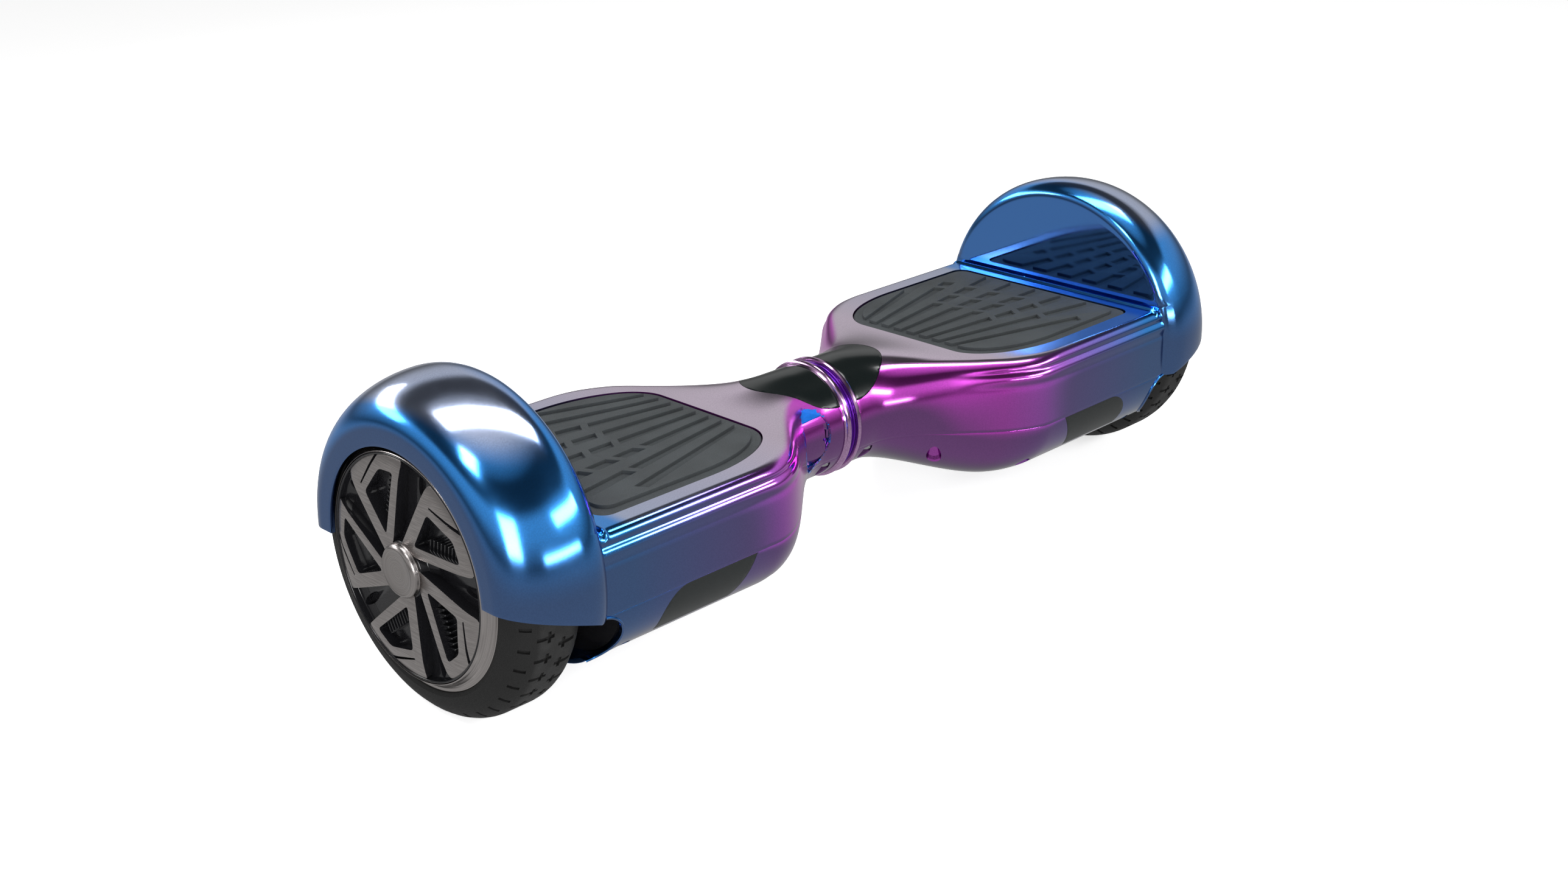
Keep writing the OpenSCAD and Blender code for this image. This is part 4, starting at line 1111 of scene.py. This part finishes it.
def wheel_faces():
    cap_x = box_mm("right_wheel_cover")[1].x
    back_x = box_mm("right_wheel_cover")[0].x
    floor_x = cap_x - 6.2
    stock = lathe("spoke_stock", [
        (0, back_x + 1), (59.2, back_x + 1), (59.2, cap_x - 2.4), (57.5, cap_x - 1.6),
        (54, cap_x - 0.7), (48, cap_x - 0.1), (40, cap_x), (0, cap_x),
    ])
    turns = [-2 * math.pi * k / SPOKES for k in range(SPOKES)]
    spokes = [face_prism("spoke", spoke_plan(), t, back_x + 0.5, cap_x + 2) for t in turns]
    carve(stock, join("spoke_keep", spokes), "INTERSECT")
    for plan in (spoke_pocket(), spoke_slit()):
        cuts = [face_prism("cut", plan, t, back_x, cap_x + 3) for t in turns]
        carve(stock, join("spoke_cut", cuts))
    soften(stock, 0.45, 45)
    for face in stock.data.polygons:
        face.material_index = 0 if face.normal.x > 0.25 else 1
    stock.name = stock.data.name = "right_wheel_spokes"
    dish = lathe("right_wheel_dish", rounded([
        (0, back_x), (59.4, back_x), (59.6, cap_x - 1.8), (59.0, cap_x - 1.2), (58.3, cap_x - 1.6),
        (57.6, floor_x + 1.2), (52, floor_x), (22, floor_x - 0.6), (16, floor_x + 1.5),
        (14.8, cap_x - 0.4), (0, cap_x - 0.4),
    ], 0.5))
    scoops = []
    for t in turns:
        c, s = math.cos(t + math.radians(74)), math.sin(t + math.radians(74))
        scoop = cylinder("scoop", 0, 0, 0, 3.2, 5, "X", 40)
        scoop.data.transform(Matrix.Diagonal((1, 0.8, 2.3, 1)))
        scoop.data.transform(Matrix.Rotation(-math.atan2(s, c) + math.radians(90), 4, "X"))
        scoop.data.transform(Matrix.Translation(Vector((floor_x, -50 * c, AXLE_Z + 50 * s)) * MM))
        scoops.append(scoop)
    carve(dish, join("scoop_cut", scoops))
    soften(dish, 0.25, 45)
    fins = []
    for t in turns:
        for k in range(8):
            a, b = 20 + 2.9 * k, 16.0 + 0.1 * k
            fin = [(a, b), (a + 0.9, b), (a + 1.9, b + 6.2), (a + 1.0, b + 6.2)]
            fins.append(face_prism("fin", fin, t, floor_x - 0.5, floor_x + 3.4))
    vents = join("right_wheel_fins", fins)
    soften(vents, 0.15, 45, 1)
    low, high = box_mm("right_hub_cap")
    hub_x = high.x
    hub = lathe("right_hub_cover", [
        (0, low.x - 0.5), (14, low.x - 0.5), (14.3, low.x + 0.4), (14.0, low.x + 1.2),
        (13.9, hub_x - 1.9), (13.6, hub_x - 1.4), (12.5, hub_x - 0.2), (12.0, hub_x - 0.05),
        (11.6, hub_x - 0.3), (6, hub_x - 0.34), (0, hub_x - 0.35),
    ])
    rim = lathe("right_rim_lip", rounded([
        (53, 243.5), (57, 243.5), (57, 277.7), (65.2, 277.7), (66.0, 278.6), (66.4, 280.4),
        (65.6, 281.2), (64.0, 281.2), (62.4, 282.4), (61.0, 284.6), (60.3, 286.4), (59.8, 286.8),
        (59.7, 283), (59.7, 279.2), (0, 279), (0, 275), (53, 275),
    ], 0.4))
    pieces = [
        (stock, ["brushed", "gloss"], "cover_silver", ["right_wheel_cover"]),
        (dish, ["gloss"], "gloss_black", []),
        (vents, ["gloss"], "gloss_black", []),
        (hub, ["cap"], "cover_silver", ["right_hub_cap"]),
        (rim, ["rim"], "satin_silver", ["right_rim"]),
    ]
    for obj, names, slot, nodes in pieces:
        left = other_side(obj, obj.name.replace("right", "left"))
        look = [finish(n) for n in names]
        finish_piece(obj, "right_wheel", look, nodes, 32)
        finish_piece(left, "left_wheel", look, [n.replace("right", "left") for n in nodes], 32)


def charge_port():
    bay_back = -29.5
    rows = [row for row in upper_outline() if row[0][0] < WELL_X - 9.1]
    form = closed_form("neck_form", rows)
    form.data.transform(Matrix.Scale(-1, 4, (1, 0, 0)))
    form.data.flip_normals()
    bay = cylinder("left_port_bay", PORT_X, -48.75, PORT_Z, 18.6, 42.5, "Y", 96)
    carve(bay, form, "INTERSECT")
    carve(bay, cylinder("bay_hole", PORT_X, -50 + bay_back / 2, PORT_Z, 17, 100 + bay_back, "Y", 96))
    finish_piece(bay, "left_half", finish("bay"))
    cap = cylinder("left_charge_cap_cover", PORT_X, -38, PORT_Z, 16.5, 16, "Y", 96)
    profile = [(26, -70), (32.2, -70), (33.6, -20), (33.4, -10), (26, -10)]
    neck = lathe("neck_round", profile, 160, (0.0, PIVOT_Z))
    carve(cap, neck, "INTERSECT")
    carve(cap, block("cap_front", (-80, -60, 0), (0, bay_back - 0.3, 200)), "INTERSECT")
    carve(cap, block("cap_hinge_side", (-23.8, -60, 0), (0, -31.8, 200)))
    soften(cap, 0.7, 40, 4)
    cap = join("left_charge_cap_cover", [cap, cylinder("cap_pin", -21.6, -32.2, PORT_Z, 1.15, 5, "Z", 32)])
    finish_piece(cap, "charge_door", finish("plated"), ["charge_cap"])
    tab = []
    for k in range(49):
        t = 2 * math.pi * k / 48
        px = PORT_X - 6 + 3.6 * math.cos(t)
        pz = PORT_Z + 1 + 8.2 * math.copysign(abs(math.sin(t)) ** 0.55, math.sin(t))
        tab.append((px, -cap_depth(px, pz) - 0.05, pz))
    lift = bead("left_cap_lift_tab", tab[:-1], 0.42, cyclic=True)
    finish_piece(lift, "charge_door", finish("violet"))
    dot_x, dot_z = PORT_X + 12.6, PORT_Z - 3
    dot = cylinder("left_cap_dot", dot_x, -cap_depth(dot_x, dot_z), dot_z, 0.9, 1.0, "Y", 24)
    soften(dot, 0.3, 40)
    finish_piece(dot, "charge_door", finish("violet"))


def cap_depth(x, z):
    r = mix(32.2, 33.6, (x + 70) / 50)
    return math.sqrt(max(0.0, r * r - (z - PIVOT_Z) ** 2))


NODE_FINISHES = [
    ("frame", "alloy"), ("axle_clamp", "alloy"), ("axle", "steel"), ("screws", "steel"), ("stator", "copper"),
    ("motor_cover", "alloy"), ("magnet_ring", "magnet"), ("bearings", "steel"), ("motor_cable", "plastic"),
    ("light_board", "board"), ("sensor_board", "board"), ("main_board", "board"), ("standoffs", "steel"),
    ("pivot_shaft", "steel"), ("bushes", "bronze"), ("circlip", "steel"), ("limit_pin", "steel"),
    ("battery_pack", "wrap"), ("battery_strap", "plastic"), ("battery_cable", "plastic"),
    ("charge_socket", "plastic"), ("power_button", "lens"), ("power_switch", "plastic"),
]


def hidden_parts():
    """The CAD nodes that stay: frames, axles, motors, boards, battery and fastenings."""
    for name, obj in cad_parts.items():
        if obj.hide_render:
            continue
        found = [look for part, look in NODE_FINISHES if part in name]
        if not found:
            raise RuntimeError(f"no finish for {name}")
        for slot in obj.material_slots:
            slot.material = finish(found[0])


# ---- Stage ----------------------------------------------------------------------------------------------


STUDIO_BANDS = [
    (0.0, 0.50), (0.44, 0.42), (0.51, 0.10), (0.58, 0.30), (0.64, 0.52),
    (0.74, 0.62), (0.79, 0.05), (0.90, 0.04), (1.0, 0.7),
]


def softbox(name, place, target, width, height, watts, tint=(1, 1, 1)):
    data = bpy.data.lights.new(name, "AREA")
    data.shape = "RECTANGLE"
    data.size, data.size_y, data.energy, data.color = width, height, watts, tint
    lamp = bpy.data.objects.new(name, data)
    bpy.context.scene.collection.objects.link(lamp)
    lamp.location = place
    lamp.rotation_euler = (Vector(target) - Vector(place)).to_track_quat("-Z", "Y").to_euler()
    return lamp


def stage():
    deselect()
    bpy.ops.mesh.primitive_plane_add(size=12)
    floor = bpy.context.object
    floor.name = "studio_floor"
    glow = {"Emission_Color": (1, 1, 1, 1), "Emission_Strength": 0.6}
    f = Finish("studio_paper", base=(0.92, 0.92, 0.92), rough=0.9, **glow)
    floor.data.materials.append(f.material)
    floor.visible_glossy = False

    world = bpy.data.worlds.new("studio")
    bpy.context.scene.world = world
    world.use_nodes = True
    nodes, links = world.node_tree.nodes, world.node_tree.links
    shade = nodes["Background"]
    coord = nodes.new("ShaderNodeTexCoord")
    split = nodes.new("ShaderNodeSeparateXYZ")
    ramp = nodes.new("ShaderNodeValToRGB")
    links.new(coord.outputs["Generated"], split.inputs[0])
    height = nodes.new("ShaderNodeMapRange")
    height.inputs["From Min"].default_value = -1
    links.new(split.outputs["Z"], height.inputs["Value"])
    links.new(height.outputs["Result"], ramp.inputs["Fac"])
    band = ramp.color_ramp
    for place, level in STUDIO_BANDS:
        element = band.elements.new(place) if 0 < place < 1 else band.elements[0 if place == 0 else -1]
        element.color = (level, level, level, 1)
    rays = nodes.new("ShaderNodeLightPath")
    white = nodes.new("ShaderNodeMix")
    white.data_type = "RGBA"
    links.new(rays.outputs["Is Camera Ray"], white.inputs[0])
    links.new(ramp.outputs["Color"], white.inputs[6])
    white.inputs[7].default_value = (1, 1, 1, 1)
    links.new(white.outputs[2], shade.inputs["Color"])

    softbox("top_softbox", (0.05, 0.1, 1.3), (0, 0, 0.1), 1.5, 0.35, 16)
    softbox("front_left_softbox", (-0.95, -0.95, 0.50), (-0.25, -0.05, 0.1), 0.42, 0.5, 10)
    softbox("front_strip", (0.65, -1.25, 0.75), (0.1, 0, 0.1), 1.0, 0.2, 9)
    softbox("low_front_strip", (0.1, -1.3, 0.22), (0.05, 0, 0.08), 0.8, 0.08, 3)
    softbox("rear_strip", (-0.5, 1.2, 0.7), (-0.1, 0, 0.1), 1.2, 0.25, 7)
    softbox("left_top_spot", (-0.75, -0.15, 0.9), (-0.27, 0, 0.15), 0.22, 0.22, 3)

    data = bpy.data.cameras.new("camera")
    camera = bpy.data.objects.new("camera", data)
    bpy.context.scene.collection.objects.link(camera)
    place, target = Vector((-0.7602, -0.7327, 0.4902)), Vector((-0.0105, 0.0129, 0.0665))
    turn = (target - place).to_track_quat("-Z", "Y").to_matrix().to_4x4()
    camera.matrix_world = Matrix.Translation(place) @ turn @ Matrix.Rotation(math.radians(-0.79), 4, "Z")
    data.sensor_width = 36
    data.lens = 44.33
    bpy.context.scene.camera = camera
    bpy.context.scene.view_settings.view_transform = "Standard"


# ---- Operators, panel and run ------------------------------------------------------------------------------


class BOARD_OT_upper_shells(bpy.types.Operator):
    """Builds the plated upper shells with their fenders and the neck trims"""

    bl_idname = "board.upper_shells"
    bl_label = "Upper shells"

    def execute(self, context):
        upper_shells()
        return {"FINISHED"}


class BOARD_OT_lower_shells(bpy.types.Operator):
    """Builds the plated lower shells with their screw wells and light covers"""

    bl_idname = "board.lower_shells"
    bl_label = "Lower shells"

    def execute(self, context):
        lower_shells()
        return {"FINISHED"}


class BOARD_OT_neck_rings(bpy.types.Operator):
    """Builds the trim rings and the seal between the halves"""

    bl_idname = "board.neck_rings"
    bl_label = "Neck rings"

    def execute(self, context):
        neck_rings()
        return {"FINISHED"}


class BOARD_OT_foot_pads(bpy.types.Operator):
    """Builds the ribbed rubber foot pads"""

    bl_idname = "board.foot_pads"
    bl_label = "Foot pads"

    def execute(self, context):
        foot_pads()
        return {"FINISHED"}


class BOARD_OT_tyres(bpy.types.Operator):
    """Builds the tyres with their tread"""

    bl_idname = "board.tyres"
    bl_label = "Tyres"

    def execute(self, context):
        tyres()
        return {"FINISHED"}


class BOARD_OT_wheel_faces(bpy.types.Operator):
    """Builds the rims, the spoked covers and the hub caps"""

    bl_idname = "board.wheel_faces"
    bl_label = "Wheel faces"

    def execute(self, context):
        wheel_faces()
        return {"FINISHED"}


class BOARD_OT_charge_port(bpy.types.Operator):
    """Builds the charging bay and its cap"""

    bl_idname = "board.charge_port"
    bl_label = "Charging port"

    def execute(self, context):
        charge_port()
        return {"FINISHED"}


class BOARD_OT_hidden_parts(bpy.types.Operator):
    """Gives the CAD parts that stay their finishes"""

    bl_idname = "board.hidden_parts"
    bl_label = "Inner parts"

    def execute(self, context):
        hidden_parts()
        return {"FINISHED"}


class BOARD_OT_stage(bpy.types.Operator):
    """Sets up the floor, the lights and the camera"""

    bl_idname = "board.stage"
    bl_label = "Stage"

    def execute(self, context):
        stage()
        return {"FINISHED"}


OPERATORS = [
    BOARD_OT_upper_shells, BOARD_OT_lower_shells, BOARD_OT_neck_rings, BOARD_OT_foot_pads, BOARD_OT_tyres,
    BOARD_OT_wheel_faces, BOARD_OT_charge_port, BOARD_OT_hidden_parts, BOARD_OT_stage,
]


class BOARD_PT_panel(bpy.types.Panel):
    """Sizes, colours and pieces of the board"""

    bl_label = "Self balancing board"
    bl_idname = "BOARD_PT_panel"
    bl_space_type = "VIEW_3D"
    bl_region_type = "UI"
    bl_category = "Board"

    def draw(self, context):
        for group in (context.scene.board_sizes, context.scene.board_colours):
            box = self.layout.box()
            for name in group.__annotations__:
                box.prop(group, name)
        for operator in OPERATORS:
            self.layout.operator(operator.bl_idname)


CLASSES = [BoardSizes, BoardColours] + OPERATORS + [BOARD_PT_panel]


def register():
    for cls in CLASSES:
        bpy.utils.register_class(cls)
    bpy.types.Scene.board_sizes = PointerProperty(type=BoardSizes)
    bpy.types.Scene.board_colours = PointerProperty(type=BoardColours)


def unregister():
    del bpy.types.Scene.board_colours
    del bpy.types.Scene.board_sizes
    for cls in reversed(CLASSES):
        bpy.utils.unregister_class(cls)


def main():
    register()
    bpy.ops.board.upper_shells()
    bpy.ops.board.lower_shells()
    bpy.ops.board.neck_rings()
    bpy.ops.board.foot_pads()
    bpy.ops.board.tyres()
    bpy.ops.board.wheel_faces()
    bpy.ops.board.charge_port()
    bpy.ops.board.hidden_parts()
    bpy.ops.board.stage()


if __name__ == "__main__":
    main()
